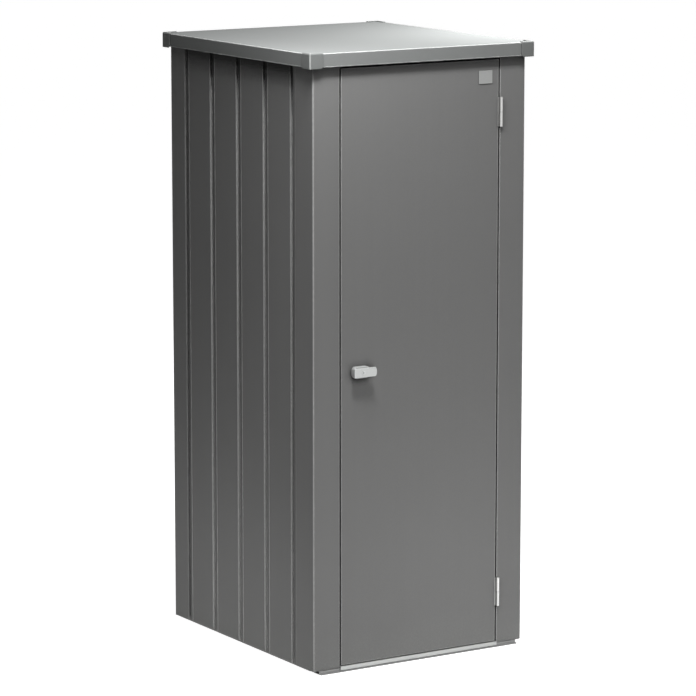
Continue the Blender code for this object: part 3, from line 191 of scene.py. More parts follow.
def swing(tree, pattern, amount):
    """A pattern from 0 to 1, centred on 0 and made as strong as the amount."""
    return times(tree, maths(tree, "SUBTRACT", pattern, 0.5), amount)


def vector_maths(tree, operation, first, second=(0, 0, 0), result="Vector"):
    item = add_node(tree, "VectorMath", {0: first, 1: second}, operation=operation)
    return item.outputs[result]


def dot(tree, first, second):
    return vector_maths(tree, "DOT_PRODUCT", first, second, "Value")


def parts_of(tree, vector):
    return add_node(tree, "SeparateXYZ", {"Vector": vector}).outputs


def spread(tree, value, span, to_low=0.0, to_high=1.0):
    """Map a value from a span to another range, without going past its ends."""
    low, high = span
    item = add_node(tree, "MapRange", {"Value": value, "From Min": low, "From Max": high,
                                       "To Min": to_low, "To Max": to_high})
    return item.outputs["Result"]


def tint(tree, colour, factor):
    """A colour made lighter or darker by a factor."""
    item = add_node(tree, "VectorMath", {0: colour, "Scale": factor}, operation="SCALE")
    return item.outputs["Vector"]


def blend_colours(tree, factor, first, second):
    item = add_node(tree, "Mix", {"Factor": factor, FIRST_COLOUR: first,
                                  SECOND_COLOUR: second}, data_type="RGBA")
    return item.outputs[BLEND]


def noise(tree, place, scale, detail, roughness=0.5):
    item = add_node(tree, "TexNoise", {"Vector": place, "Scale": scale, "Detail": detail,
                                       "Roughness": roughness})
    return item.outputs[0]


def crystal_cells(tree, place, scale):
    """A pattern of small crystals, each with its own value from 0 to 1."""
    cells = add_node(tree, "TexVoronoi", {"Vector": place, "Scale": scale})
    return add_node(tree, "SeparateColor", {"Color": cells.outputs["Color"]}).outputs["Red"]


def object_place(tree, stretch=None):
    """Object coordinates, stretched along some axes where a stretch is given."""
    place = add_node(tree, "TexCoord").outputs["Object"]
    if stretch is None:
        return place
    return add_node(tree, "Mapping", {"Vector": place, "Scale": stretch}).outputs["Vector"]


def face_normal(tree):
    return add_node(tree, "NewGeometry").outputs["Normal"]


def rounded_normal(tree, radius):
    """The normal that a piece would have with its edges rounded to a radius."""
    return add_node(tree, "Bevel", {"Radius": radius}, samples=BEVEL_SAMPLES).outputs["Normal"]


def new_group(name, inputs, outputs):
    """A shader node group with named sockets; returns its tree, its inputs and its results."""
    tree = bpy.data.node_groups.new(name, "ShaderNodeTree")
    for label, kind, default in inputs:
        socket = tree.interface.new_socket(label, in_out="INPUT", socket_type="NodeSocket" + kind)
        socket.default_value = default
    for label, kind in outputs:
        tree.interface.new_socket(label, in_out="OUTPUT", socket_type="NodeSocket" + kind)
    entry = tree.nodes.new("NodeGroupInput")
    leave = tree.nodes.new("NodeGroupOutput")
    return tree, entry.outputs, leave.inputs


def use_group(tree, group, values):
    """Place a node group in a material and fill its inputs; returns its outputs."""
    item = tree.nodes.new("ShaderNodeGroup")
    item.node_tree = group
    fill(tree, item, values)
    return item.outputs


# Shared effects

def make_paint_group():
    """Stove paint with fine metallic flecks, faint coil streaks and orange peel."""
    tree, given, result = new_group(
        "metallic_paint",
        [("Colour", "Color", (0.2, 0.2, 0.2, 1)), ("Roughness", "Float", 0.4),
         ("Fleck", "Float", 0.1), ("Streak", "Float", 0.04), ("Cloud", "Float", 0.06)],
        [("Colour", "Color"), ("Roughness", "Float"), ("Height", "Float")])
    place = object_place(tree)
    fleck = swing(tree, crystal_cells(tree, place, FLECK_SCALE), given["Fleck"])
    rolled = noise(tree, object_place(tree, STREAK_STRETCH), *ROLLED_STREAKS)
    streak = swing(tree, rolled, given["Streak"])
    cloud = swing(tree, noise(tree, place, *BROAD_CLOUDS), given["Cloud"])
    factor = plus(tree, plus(tree, plus(tree, fleck, streak), cloud), 1.0)
    uneven = swing(tree, noise(tree, place, *GLOSS_SMEARS), SMEAR_SHIFT)
    tree.links.new(tint(tree, given["Colour"], factor), result["Colour"])
    tree.links.new(plus(tree, given["Roughness"], uneven), result["Roughness"])
    tree.links.new(noise(tree, place, *ORANGE_PEEL), result["Height"])
    return tree


def make_edge_group():
    """A mask of the outer folds, cut edges and slanted corner faces, strongest on the side that
    the lamps light: painted highlight mixed with wear, broken up by noise.
    """
    tree, given, result = new_group(
        "edge_wear_and_highlight", [("Radius", "Float", 0.001), ("Amount", "Float", 0.5),
                       ("Breaks", "Float", 0.5), ("Unlit Side", "Float", 0.12)],
        [("Mask", "Float"), ("Rounded", "Vector")])
    rounded = rounded_normal(tree, given["Radius"])
    flat = face_normal(tree)
    fold = spread(tree, inverse(tree, dot(tree, rounded, flat)), FOLD_TURN)
    parts = parts_of(tree, flat)
    slant = maths(tree, "ABSOLUTE", times(tree, parts["X"], parts["Y"]))
    edge = maths(tree, "MAXIMUM", fold, spread(tree, slant, SLANTED_FACE))
    towards = dot(tree, rounded, LIT_SIDE)
    lit_side_share = spread(tree, towards, LIT_SIDE_RANGE, given["Unlit Side"], 1.0)
    chips = spread(tree, noise(tree, object_place(tree), *EDGE_CHIPS), CHIP_RANGE)
    unbroken = inverse(tree, times(tree, chips, given["Breaks"]))
    highlight_and_wear = times(tree, times(tree, edge, lit_side_share), unbroken)
    tree.links.new(times(tree, highlight_and_wear, given["Amount"]), result["Mask"])
    tree.links.new(rounded, result["Rounded"])
    return tree


def make_painted_shade_group():
    """Painted shade in gaps, under overhangs and in inner corners: darkens the colour where nearby
    surfaces close a place in.
    """
    tree, given, result = new_group(
        "painted_shade",
        [("Colour", "Color", (0.2, 0.2, 0.2, 1)), ("Reach", "Float", 0.03),
         ("Darkest", "Float", 0.06), ("Closed", "Float", 0.3), ("Open", "Float", 0.78),
         ("Lean", "Float", SKY_LEAN)], [("Colour", "Color")])
    lean = add_node(tree, "CombineXYZ", {"Z": given["Lean"]}).outputs["Vector"]
    skyward = vector_maths(tree, "ADD", face_normal(tree), lean)
    openness = add_node(tree, "AmbientOcclusion", {"Distance": given["Reach"],
                                                   "Normal": skyward}, samples=SHADE_SAMPLES)
    factor = spread(tree, openness.outputs["AO"], (given["Closed"], given["Open"]),
                    given["Darkest"], 1.0)
    tree.links.new(tint(tree, given["Colour"], factor), result["Colour"])
    return tree


def make_dust_group():
    """A mask of dust and splashes that lie on the lowest part of what stands outside."""
    tree, given, result = new_group(
        "low_dust", [("Height", "Float", 0.2), ("Amount", "Float", 0.3)], [("Mask", "Float")])
    place = object_place(tree)
    ragged = times(tree, noise(tree, place, *DUST_RAGS), given["Height"])
    rise = maths(tree, "DIVIDE", parts_of(tree, place)["Z"], plus(tree, ragged, DUST_LOWEST))
    near_floor = maths(tree, "SUBTRACT", 1.0, rise, clamp=True)
    drops = spread(tree, noise(tree, place, *SPLASH_DROPS), DROP_RANGE)
    speckle = plus(tree, times(tree, drops, DROP_SHARE), 1.0 - DROP_SHARE)
    mask = times(tree, times(tree, near_floor, given["Amount"]), speckle)
    tree.links.new(mask, result["Mask"])
    return tree


def make_grain_group():
    """Fine lines along one direction, as on brushed, drawn or extruded metal."""
    tree, given, result = new_group(
        "drawn_grain",
        [("Colour", "Color", (0.6, 0.6, 0.6, 1)), ("Roughness", "Float", 0.35),
         ("Stretch", "Vector", (6.0, 900.0, 900.0)), ("Strength", "Float", 0.15)],
        [("Colour", "Color"), ("Roughness", "Float"), ("Height", "Float")])
    place = object_place(tree)
    along = vector_maths(tree, "MULTIPLY", place, given["Stretch"])
    lines = noise(tree, along, *GRAIN_LINES)
    line = swing(tree, lines, given["Strength"])
    stain = swing(tree, noise(tree, place, *METAL_STAINS), given["Strength"])
    factor = plus(tree, plus(tree, line, stain), 1.0)
    rough = plus(tree, given["Roughness"], maths(tree, "SUBTRACT", line, stain))
    tree.links.new(tint(tree, given["Colour"], factor), result["Colour"])
    tree.links.new(rough, result["Roughness"])
    tree.links.new(lines, result["Height"])
    return tree


def make_spangle_group():
    """The crystal pattern of hot-dipped zinc."""
    tree, given, result = new_group(
        "zinc_spangle",
        [("Colour", "Color", (0.5, 0.52, 0.54, 1)), ("Scale", "Float", SPANGLE_SCALE),
         ("Contrast", "Float", 0.35)],
        [("Colour", "Color"), ("Roughness", "Float"), ("Height", "Float")])
    place = object_place(tree)
    ripple = add_node(tree, "TexNoise", {"Vector": place, "Scale": SPANGLE_WARP_SCALE})
    warp = tint(tree, vector_maths(tree, "ADD", place, ripple.outputs["Color"]),
                SPANGLE_WARP_SHARE)
    shade = crystal_cells(tree, vector_maths(tree, "ADD", place, warp), given["Scale"])
    factor = plus(tree, swing(tree, shade, given["Contrast"]), 1.0)
    rough = plus(tree, times(tree, shade, SPANGLE_ROUGHNESS_SWING), SPANGLE_ROUGHNESS)
    tree.links.new(tint(tree, given["Colour"], factor), result["Colour"])
    tree.links.new(rough, result["Roughness"])
    tree.links.new(noise(tree, place, *ZINC_FROST), result["Height"])
    return tree


paint_group = make_paint_group()
edge_group = make_edge_group()
painted_shade_group = make_painted_shade_group()
dust_group = make_dust_group()
grain_group = make_grain_group()
spangle_group = make_spangle_group()


# Materials

def new_material(name):
    material = bpy.data.materials.new(name)
    material.use_nodes = True
    tree = material.node_tree
    return material, tree, tree.nodes["Principled BSDF"]


def lighter(colour, gain):
    return (*(min(1, channel * gain) for channel in colour), 1)


def bump(tree, shader, height, relief, rounded=None):
    """Raise a surface by a pattern, over rounded edges where a rounded normal is given."""
    depth, strength = relief
    item = add_node(tree, "Bump", {"Height": height, "Distance": depth, "Strength": strength})
    if rounded:
        tree.links.new(rounded, item.inputs["Normal"])
    tree.links.new(item.outputs["Normal"], shader.inputs["Normal"])


def outward_of_middle(tree):
    """1 where a cap faces away from the cabinet's middle, 0 on its end edges."""
    signs = vector_maths(tree, "SIGN", object_place(tree))
    return spread(tree, dot(tree, rounded_normal(tree, FOLD_SHINE), signs), CAP_OUTWARD)


def eaves_shade(tree):
    """Values that let the shade deepen only at the height of the eaves."""
    height = parts_of(tree, object_place(tree))["Z"]
    return {"Closed": spread(tree, height, EAVES_HEIGHTS, 0.0, EAVES_CLOSED),
            "Open": EAVES_OPEN, "Lean": EAVES_LEAN}


def painted_steel(name, colour, roughness=0.52, gloss=0.03, wear_and_highlight=0.8, edge_highlight_colour=None,
                  dust=0.25, corners_only=False, fold=FOLD_SHINE, breaks=0.25,
                  unlit_side=0.0, reach=SHADE_REACH, eaves=False):
    """Painted sheet: flecked paint, folds lightened as painted highlight mixed with wear, dust
    near the floor, painted shade in gaps and corners.
    """
    material, tree, shader = new_material(name)
    paint = use_group(tree, paint_group, {"Colour": (*colour, 1), "Roughness": roughness})
    edge_highlight_tone = (*edge_highlight_colour, 1) if edge_highlight_colour else lighter(colour, EDGE_HIGHLIGHT_GAIN)
    edges = use_group(tree, edge_group, {"Radius": fold, "Amount": wear_and_highlight, "Breaks": breaks,
                                         "Unlit Side": unlit_side})
    mask = edges["Mask"]
    # On the caps the painted highlight stays on their outer corners.
    if corners_only:
        mask = times(tree, mask, outward_of_middle(tree))
    body = blend_colours(tree, mask, paint["Colour"], edge_highlight_tone)
    low = use_group(tree, dust_group, {"Amount": dust})["Mask"]
    shade_inputs = {"Colour": blend_colours(tree, low, body, DUST_TONE), "Reach": reach}
    if eaves:
        shade_inputs.update(eaves_shade(tree))
    shaded = use_group(tree, painted_shade_group, shade_inputs)["Colour"]
    tree.links.new(shaded, shader.inputs["Base Color"])
    tree.links.new(paint["Roughness"], shader.inputs["Roughness"])
    shader.inputs["Specular IOR Level"].default_value = gloss
    bump(tree, shader, paint["Height"], PAINT_RELIEF, edges["Rounded"])
    return material


def drawn_metal(name, colour, roughness, stretch, strength=0.15, metallic=0.9, wear_and_highlight=0.4,
                edge_width=0.8 * MM, edge_highlight_gain=1.35, reach=METAL_REACH, leaf_colour=None):
    """Bare metal with grain along its length, edges lightened as painted highlight mixed with
    wear, and painted shade in inner corners.
    """
    material, tree, shader = new_material(name)
    tone = (*colour, 1)
    if leaf_colour:
        level = vector_maths(tree, "MULTIPLY", object_place(tree), (1, 1, 0))
        off_axis = vector_maths(tree, "DISTANCE", level, HINGE_AXIS, "Value")
        tone = blend_colours(tree, spread(tree, off_axis, BARREL_TO_LEAF), tone,
                             (*leaf_colour, 1))
    grain = use_group(tree, grain_group, {"Colour": tone, "Roughness": roughness,
                                          "Stretch": stretch, "Strength": strength})
    mask = use_group(tree, edge_group, {"Radius": edge_width, "Amount": wear_and_highlight,
                                        "Breaks": METAL_BREAKS,
                                        "Unlit Side": METAL_UNLIT_SIDE})["Mask"]
    body = blend_colours(tree, mask, grain["Colour"], lighter(colour, edge_highlight_gain))
    shaded = use_group(tree, painted_shade_group, {"Colour": body, "Reach": reach,
                                             "Darkest": METAL_DARKEST})["Colour"]
    tree.links.new(shaded, shader.inputs["Base Color"])
    tree.links.new(grain["Roughness"], shader.inputs["Roughness"])
    shader.inputs["Metallic"].default_value = metallic
    bump(tree, shader, grain["Height"], GRAIN_RELIEF)
    return material


def galvanised(name, colour):
    """Hot-dipped zinc sheet with edges lightened as painted highlight mixed with wear."""
    material, tree, shader = new_material(name)
    zinc = use_group(tree, spangle_group, {"Colour": (*colour, 1)})
    mask = use_group(tree, edge_group, {"Radius": ZINC_EDGE, "Amount": ZINC_WEAR_AND_HIGHLIGHT})["Mask"]
    body = blend_colours(tree, mask, zinc["Colour"], lighter(colour, ZINC_EDGE_HIGHLIGHT_GAIN))
    tree.links.new(body, shader.inputs["Base Color"])
    tree.links.new(zinc["Roughness"], shader.inputs["Roughness"])
    shader.inputs["Metallic"].default_value = ZINC_METALLIC
    bump(tree, shader, zinc["Height"], ZINC_RELIEF)
    return material


def moulded(name, colour, roughness, skin_noise, scuffs_and_highlight):
    """Moulded plastic or rubber with a fine skin and a few pale scuffs. The scuffs are kept mostly
    to the side that the lamps light, so they are partly painted highlight.
    """
    material, tree, shader = new_material(name)
    skin = noise(tree, object_place(tree), *skin_noise)
    shade = tint(tree, colour, spread(tree, skin, SKIN_RANGE, *SKIN_SHADE))
    mask = use_group(tree, edge_group, {"Radius": MOULDING_EDGE, "Amount": scuffs_and_highlight})["Mask"]
    pale = (*(channel + SCUFF_AND_HIGHLIGHT_LIGHTER for channel in colour), 1)
    tree.links.new(blend_colours(tree, mask, shade, pale), shader.inputs["Base Color"])
    rough = spread(tree, skin, SKIN_RANGE, roughness - SKIN_ROUGHNESS_SWING,
                   roughness + SKIN_ROUGHNESS_SWING)
    tree.links.new(rough, shader.inputs["Roughness"])
    bump(tree, shader, skin, SKIN_RELIEF)
    return material


GRAPHITE = (0.188, 0.188, 0.186)
ALONG_X = (5.0, 900.0, 900.0)
ALONG_Y = (900.0, 5.0, 900.0)
ALONG_Z = (900.0, 900.0, 5.0)

# The edge amounts and light edge colours below paint highlights on folds, grooves, corners, the
# handle and the badge, mixed with wear.
graphite_paint = painted_steel("graphite_paint", GRAPHITE, wear_and_highlight=0.95, fold=POST_FOLD_SHINE)
wall_paint = painted_steel("graphite_paint_walls", GRAPHITE, wear_and_highlight=1.0,
                           edge_highlight_colour=(0.86, 0.86, 0.85), fold=WALL_FOLD_SHINE, breaks=0.1,
                           unlit_side=0.3, reach=EAVES_REACH, eaves=True)
inside_paint = painted_steel("graphite_paint_inside", (0.172, 0.172, 0.170), roughness=0.5,
                             wear_and_highlight=0.3, dust=0.12)
roof_paint = painted_steel("roof_paint", (0.206, 0.213, 0.210), roughness=0.38, gloss=0.0,
                           wear_and_highlight=1.0, edge_highlight_colour=(0.90, 0.91, 0.90))
cap_paint = painted_steel("roof_cap_paint", (0.170, 0.177, 0.174), roughness=0.4, gloss=0.02,
                          wear_and_highlight=0.6, edge_highlight_colour=(0.80, 0.81, 0.80), corners_only=True,
                          reach=CAP_REACH)
sill_metal = drawn_metal("mill_aluminium_sill", (0.45, 0.46, 0.45), roughness=0.42,
                         stretch=ALONG_X, metallic=0.35, reach=ALUMINIUM_REACH)
# A darker copy of the mill aluminium for the rails that run across the cabinet. Its darker tone is
# painted shade on the rail's web under the posts.
extrusion_x = drawn_metal("mill_aluminium_across_shaded", (0.24, 0.243, 0.24), roughness=0.5,
                          stretch=ALONG_X, metallic=0.3, reach=ALUMINIUM_REACH)
extrusion_y = drawn_metal("mill_aluminium_along", (0.32, 0.325, 0.32), roughness=0.5,
                          stretch=ALONG_Y, metallic=0.4)
hinge_steel = drawn_metal("satin_hinge_steel", (0.54, 0.54, 0.53), roughness=0.34,
                          stretch=ALONG_Z, strength=0.12, metallic=0.5, wear_and_highlight=0.8,
                          edge_highlight_gain=1.2, leaf_colour=(0.24, 0.24, 0.235))
handle_metal = drawn_metal("satin_handle_metal", (0.52, 0.53, 0.525), roughness=0.34,
                           stretch=ALONG_X, strength=0.10, metallic=0.25, wear_and_highlight=0.9,
                           edge_width=2.6 * MM, edge_highlight_gain=1.7)
badge_metal = drawn_metal("brushed_badge", (0.325, 0.33, 0.325), roughness=0.40,
                          stretch=ALONG_X, strength=0.12, metallic=0.6, wear_and_highlight=0.7,
                          edge_width=2.2 * MM, edge_highlight_gain=1.4)
zinc_sheet = galvanised("galvanised_sheet", (0.42, 0.43, 0.445))
zinc_bright = drawn_metal("bright_zinc", (0.42, 0.427, 0.423), roughness=0.34,
                          stretch=ALONG_Z, strength=0.1, metallic=0.6)
black_nylon = moulded("black_nylon", (0.03, 0.03, 0.03), roughness=0.5,
                      skin_noise=NYLON_SKIN, scuffs_and_highlight=0.3)
black_rubber = moulded("black_rubber", (0.022, 0.022, 0.022), roughness=0.78,
                       skin_noise=RUBBER_SKIN, scuffs_and_highlight=0.15)


# Pieces re-made from the model

def welded(node):
    """A copy of a node's mesh with its triangles joined into whole faces."""
    bm = bmesh.new()
    bm.from_mesh(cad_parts[node].data)
    bmesh.ops.remove_doubles(bm, verts=bm.verts, dist=WELD)
    bmesh.ops.dissolve_limit(bm, angle_limit=FLAT_ANGLE, verts=bm.verts, edges=bm.edges)
    return bm


def new_piece(name, bm):
    mesh = bpy.data.meshes.new(name)
    bm.to_mesh(mesh)
    bm.free()
    piece = bpy.data.objects.new(name, mesh)
    bpy.context.scene.collection.objects.link(piece)
    return piece


def settle(piece):
    """Apply a piece's modifiers and its place, so that it is a plain mesh at the origin."""
    bpy.context.view_layer.update()
    evaluated = piece.evaluated_get(bpy.context.evaluated_depsgraph_get())
    mesh = bpy.data.meshes.new_from_object(evaluated)
    mesh.transform(piece.matrix_world)
    mesh.name = piece.name
    piece.modifiers.clear()
    piece.data = mesh
    piece.matrix_world = Matrix.Identity(4)
    return piece


def soften(piece, width):
    """Round a piece's edges and shade it so that its flats stay flat."""
    piece.data.shade_smooth()
    bevel = piece.modifiers.new("soft_edges", "BEVEL")
    bevel.width = width
    bevel.segments = EDGE_STEPS
    bevel.limit_method = "ANGLE"
    bevel.angle_limit = EDGE_ANGLE
    weights = piece.modifiers.new("flat_faces", "WEIGHTED_NORMAL")
    weights.keep_sharp = False
    return settle(piece)


def hand_over(piece, material, slot, body, *nodes):
    """Give a finished piece its material and its body, and hide the model's nodes that it stands
    for.
    """
    piece.data.materials.clear()
    piece.data.materials.append(material)
    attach(piece, body)
    if nodes:
        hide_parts(*nodes)
    return piece


def remake(node, suffix, edge, material, slot, body="cabinet"):
    piece = soften(new_piece(node + "_" + suffix, welded(node)), edge)
    return hand_over(piece, material, slot, body, node)


for node in ("left_wall", "right_wall", "back_wall"):
    remake(node, "sheet", SHEET_EDGE, wall_paint, "graphite")
for node in ("left_front_post", "right_front_post", "left_rear_post", "right_rear_post",
             "top_front_rail"):
    remake(node, "sheet", SHEET_EDGE, graphite_paint, "graphite")
remake("door_panel", "sheet", SHEET_EDGE, graphite_paint, "graphite", "door")
for node in ("door_stiffener_left", "door_stiffener_right"):
    remake(node, "sheet", SHEET_EDGE, inside_paint, "graphite", "door")
for node in ("floor_panel", "shelf"):
    remake(node, "sheet", SHEET_EDGE, inside_paint, "graphite")
remake("roof_panel", "sheet", SHEET_EDGE, roof_paint, "roof_grey")
for depth in ("front", "rear"):
    for side in ("left", "right"):
        remake("corner_cap_" + depth + "_" + side, "shell", CAP_EDGE, cap_paint, "roof_grey")
for node in ("base_front_rail", "base_rear_rail", "base_cross_rail"):
    remake(node, "profile", RAIL_EDGE, extrusion_x, "aluminium")
remake("door_sill", "profile", RAIL_EDGE, sill_metal, "aluminium")
for node in ("base_left_rail", "base_right_rail"):
    remake(node, "profile", RAIL_EDGE, extrusion_y, "aluminium")
for node in ("top_left_rail", "top_right_rail", "top_rear_rail", "roof_stiffener", "tool_rail",
             "shelf_bracket_left", "shelf_bracket_right"):
    remake(node, "section", SHEET_EDGE, zinc_sheet, "zinc")
for node in ("tool_hook_left", "tool_hook_right", "upper_strike_plate", "lower_strike_plate"):
    remake(node, "plate", SHEET_EDGE, zinc_bright, "zinc")
remake("lock_case", "cover", SHEET_EDGE, zinc_sheet, "zinc", "door")
remake("badge_plate", "blank", SHEET_EDGE, badge_metal, "badge", "door")
for node in ("upper_rod_guide_inner", "upper_rod_guide_outer", "lower_rod_guide_inner",
             "lower_rod_guide_outer", "spindle_bush"):
    remake(node, "moulding", SHEET_EDGE, black_nylon, "nylon", "door")
for node in ("door_buffer_lower", "door_buffer_upper"):
    remake(node, "pad", SHEET_EDGE, black_rubber, "rubber")
remake("upper_lock_rod", "bar", SHEET_EDGE, zinc_bright, "zinc", "upper_rod")
remake("lower_lock_rod", "bar", SHEET_EDGE, zinc_bright, "zinc", "lower_rod")
remake("spindle", "bar", SHEET_EDGE, zinc_bright, "zinc", "handle")
remake("cam_disc", "plate", SHEET_EDGE, zinc_bright, "zinc", "handle")
remake("lever", "casting", SHEET_EDGE, handle_metal, "silver", "handle")
remake("lock_plug", "casting", SHEET_EDGE, handle_metal, "silver", "lock_cylinder")
remake("handle_rose", "casting", SHEET_EDGE, handle_metal, "silver", "door")
for height in ("upper", "lower"):
    remake(height + "_hinge_frame_leaf", "steel", SHEET_EDGE, hinge_steel, "silver")
    remake(height + "_hinge_door_leaf", "steel", SHEET_EDGE, hinge_steel, "silver", "door")
    remake(height + "_hinge_pin", "steel", SHEET_EDGE, hinge_steel, "silver")
    remake(height + "_hinge_washer", "steel", WASHER_EDGE, zinc_bright, "zinc")


# Screws, rivets and the spindle nut

# Radius, height, sides, socket radius as a share, and how far the socket is a hexagon
PAN_SCREW = (4.2 * MM, 2.4 * MM, 12, 0.5, 1.0)
GUIDE_SCREW = (2.2 * MM, 1.4 * MM, 12, 0.5, 1.0)
FLUSH_SCREW = (3.2 * MM, 0.15 * MM, 12, 0.5, 1.0)
BLIND_RIVET = (3.0 * MM, 1.1 * MM, 12, 0.42, 0.0)
SPINDLE_NUT = (5.77 * MM, 4.0 * MM, 6, 0.62, 0.0)

# Steps of a head's top: rise as a share of its height, width as a share of the last step's
SHOULDER = (0.3, 0.9)
CROWN = (0.2, 0.8)
SOCKET_FLOOR = (-0.5, 0.92)
HEXAGON_SIDES = 6.0
HEXAGON_PULL = 0.067


def geometry_node(tree, kind, sockets=None, **settings):
    return add_node(tree, kind, sockets, family="GeometryNode", **settings)


def raise_top(tree, solid, top, height, step):
    """Extrude a head's top face by one step; returns the mesh and its new top."""
    rise, width = step
    lift = geometry_node(tree, "ExtrudeMesh", {
        "Mesh": solid, "Selection": top, "Offset": (0, 0, 1),
        "Offset Scale": times(tree, height, rise), "Individual": False}, mode="FACES")
    taper = geometry_node(tree, "ScaleElements", {"Geometry": lift.outputs["Mesh"],
                                                  "Selection": lift.outputs["Top"],
                                                  "Scale": width}, domain="FACE")
    return taper.outputs["Geometry"], lift.outputs["Top"]


def draw_in_flats(tree, solid, top, amount):
    """Pull a round socket's rim in between six corners."""
    place = geometry_node(tree, "InputPosition").outputs["Position"]
    parts = parts_of(tree, place)
    angle = maths(tree, "ARCTAN2", parts["Y"], parts["X"])
    wave = maths(tree, "COSINE", times(tree, angle, HEXAGON_SIDES))
    pull = times(tree, inverse(tree, wave), amount)
    factor = inverse(tree, times(tree, pull, HEXAGON_PULL))
    drawn_in = add_node(tree, "CombineXYZ", {0: factor, 1: factor, 2: 1.0}).outputs["Vector"]
    moved = geometry_node(tree, "SetPosition", {
        "Geometry": solid, "Selection": top,
        "Position": vector_maths(tree, "MULTIPLY", place, drawn_in)})
    return moved.outputs["Geometry"]


def make_head_tree():
    """A domed head with a round or six-sided socket, placed on every point it is given."""
    tree = bpy.data.node_groups.new("fastener_heads", "GeometryNodeTree")
    entry = tree.nodes.new("NodeGroupInput").outputs
    for label, kind, default in (
            ("Points", "Geometry", None), ("Radius", "Float", 0.004), ("Height", "Float", 0.002),
            ("Sides", "Int", 12), ("Socket Share", "Float", 0.5), ("Hexagon", "Float", 1.0),
            ("Finish", "Material", None)):
        socket = tree.interface.new_socket(label, in_out="INPUT", socket_type="NodeSocket" + kind)
        if default is not None:
            socket.default_value = default
    tree.interface.new_socket("Heads", in_out="OUTPUT", socket_type="NodeSocketGeometry")
    leave = tree.nodes.new("NodeGroupOutput").inputs

    height = entry["Height"]
    shank = geometry_node(tree, "MeshCylinder", {
        "Vertices": entry["Sides"], "Side Segments": 1, "Radius": entry["Radius"],
        "Depth": height}, fill_type="NGON")
    solid, top = shank.outputs["Mesh"], shank.outputs["Top"]
    for step in (SHOULDER, CROWN, (0.0, entry["Socket Share"])):
        solid, top = raise_top(tree, solid, top, height, step)
    solid = draw_in_flats(tree, solid, top, entry["Hexagon"])
    solid, top = raise_top(tree, solid, top, height, SOCKET_FLOOR)

    facing = geometry_node(tree, "InputNamedAttribute", {"Name": "facing"},
                           data_type="FLOAT_VECTOR").outputs["Attribute"]
    turn = add_node(tree, "AlignRotationToVector", {"Vector": facing}, family="FunctionNode",
                    axis="Z").outputs["Rotation"]
    heads = geometry_node(tree, "InstanceOnPoints", {"Points": entry["Points"], "Instance": solid,
                                                     "Rotation": turn}).outputs["Instances"]
    real = geometry_node(tree, "RealizeInstances", {"Geometry": heads}).outputs["Geometry"]
    finished = geometry_node(tree, "SetMaterial", {"Geometry": real, "Material": entry["Finish"]})
    tree.links.new(finished.outputs["Geometry"], leave["Heads"])
    return tree


head_tree = make_head_tree()


def fasteners(name, body, kind, places):
    """One mesh of equal screws, rivets or nuts, each at a point and facing its own way."""
    mesh = bpy.data.meshes.new(name)
    mesh.from_pydata([point for point, _ in places], [], [])
    facing = mesh.attributes.new("facing", "FLOAT_VECTOR", "POINT")
    facing.data.foreach_set("vector", [value for _, way in places for value in way])
    piece = bpy.data.objects.new(name, mesh)
    bpy.context.scene.collection.objects.link(piece)
    modifier = piece.modifiers.new("heads", "NODES")
    modifier.node_group = head_tree
    values = dict(zip(("Radius", "Height", "Sides", "Socket Share", "Hexagon"), kind))
    values["Finish"] = zinc_bright
    for label, value in values.items():
        modifier[head_tree.interface.items_tree[label].identifier] = value
    settle(piece)
    piece.data.shade_smooth()
    piece.data.set_sharp_from_angle(angle=EDGE_ANGLE)
    return hand_over(piece, zinc_bright, "zinc", body)


LEFT, RIGHT = Vector((-1, 0, 0)), Vector((1, 0, 0))
FRONT, REAR = Vector((0, -1, 0)), Vector((0, 1, 0))
DOWN, UP = Vector((0, 0, -1)), Vector((0, 0, 1))

LOCK_CASE_SHEET = 2.0 * MM
LOCK_CASE_SCREW_INSET = Vector((7 * MM, 0, 10 * MM))
GUIDE_SCREW_REACH = 9.3 * MM
STIFFENER_SHEET = 1.0 * MM
STIFFENER_FOOT_MIDDLE = 7.0 * MM
STIFFENER_RIVETS = 8
LEAF_SCREW_DEPTH = 8.3 * MM
LEAF_SCREW_SPACING = 30.0 * MM
DOOR_LEAF_FACE = 275.5 * MM
FRAME_LEAF_FACE = 276.0 * MM
RAIL_SHEET = 1.5 * MM
TOOL_RAIL_SCREWS = (-300 * MM, -150 * MM, 0.0, 150 * MM, 300 * MM)
TOOL_RAIL_FOOT_MIDDLE = 7.5 * MM
HOOK_PLATE_SHEET = 2.0 * MM
HOOK_SCREW_REACH = 10.0 * MM
BRACKET_SCREW_INSET = 40.0 * MM
BRACKET_SCREW_DROP = 12.0 * MM
TOP_RAIL_SCREW_DROP = 19.0 * MM
SIDE_LAPS = (-296.7 * MM, -142.6 * MM, 11.5 * MM, 165.6 * MM, 319.7 * MM)
REAR_LAPS = (-231 * MM, -77 * MM, 77 * MM, 231 * MM)
FLOOR_SCREW_X = 337.0 * MM
FLOOR_SCREW_YS = (-330 * MM, 8 * MM, 345 * MM)
FLOOR_TOP = 12.2 * MM
STRIKE_SCREW_REACH = 17.0 * MM
SILL_TOP = 15.5 * MM
SILL_SCREW_Y = -396.0 * MM
SILL_SCREWS = (-250 * MM, 0.0, 250 * MM)
NUT_SEAT = -396.3 * MM


def middle_of(node):
    low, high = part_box(node)
    return (low + high) / 2


def lock_screws():
    low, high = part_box("lock_case")
    inset = LOCK_CASE_SCREW_INSET
    return [(Vector((x, low.y + LOCK_CASE_SHEET, z)), REAR)
            for x in (low.x + inset.x, high.x - inset.x)
            for z in (low.z + inset.z, high.z - inset.z)]


def guide_screws():
    places = []
    for height in ("upper", "lower"):
        for end in ("inner", "outer"):
            node = height + "_rod_guide_" + end
            middle, back = middle_of(node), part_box(node)[1].y
            places += [(Vector((middle.x + side * GUIDE_SCREW_REACH, back, middle.z)), REAR)
                       for side in (-1, 1)]
    return places


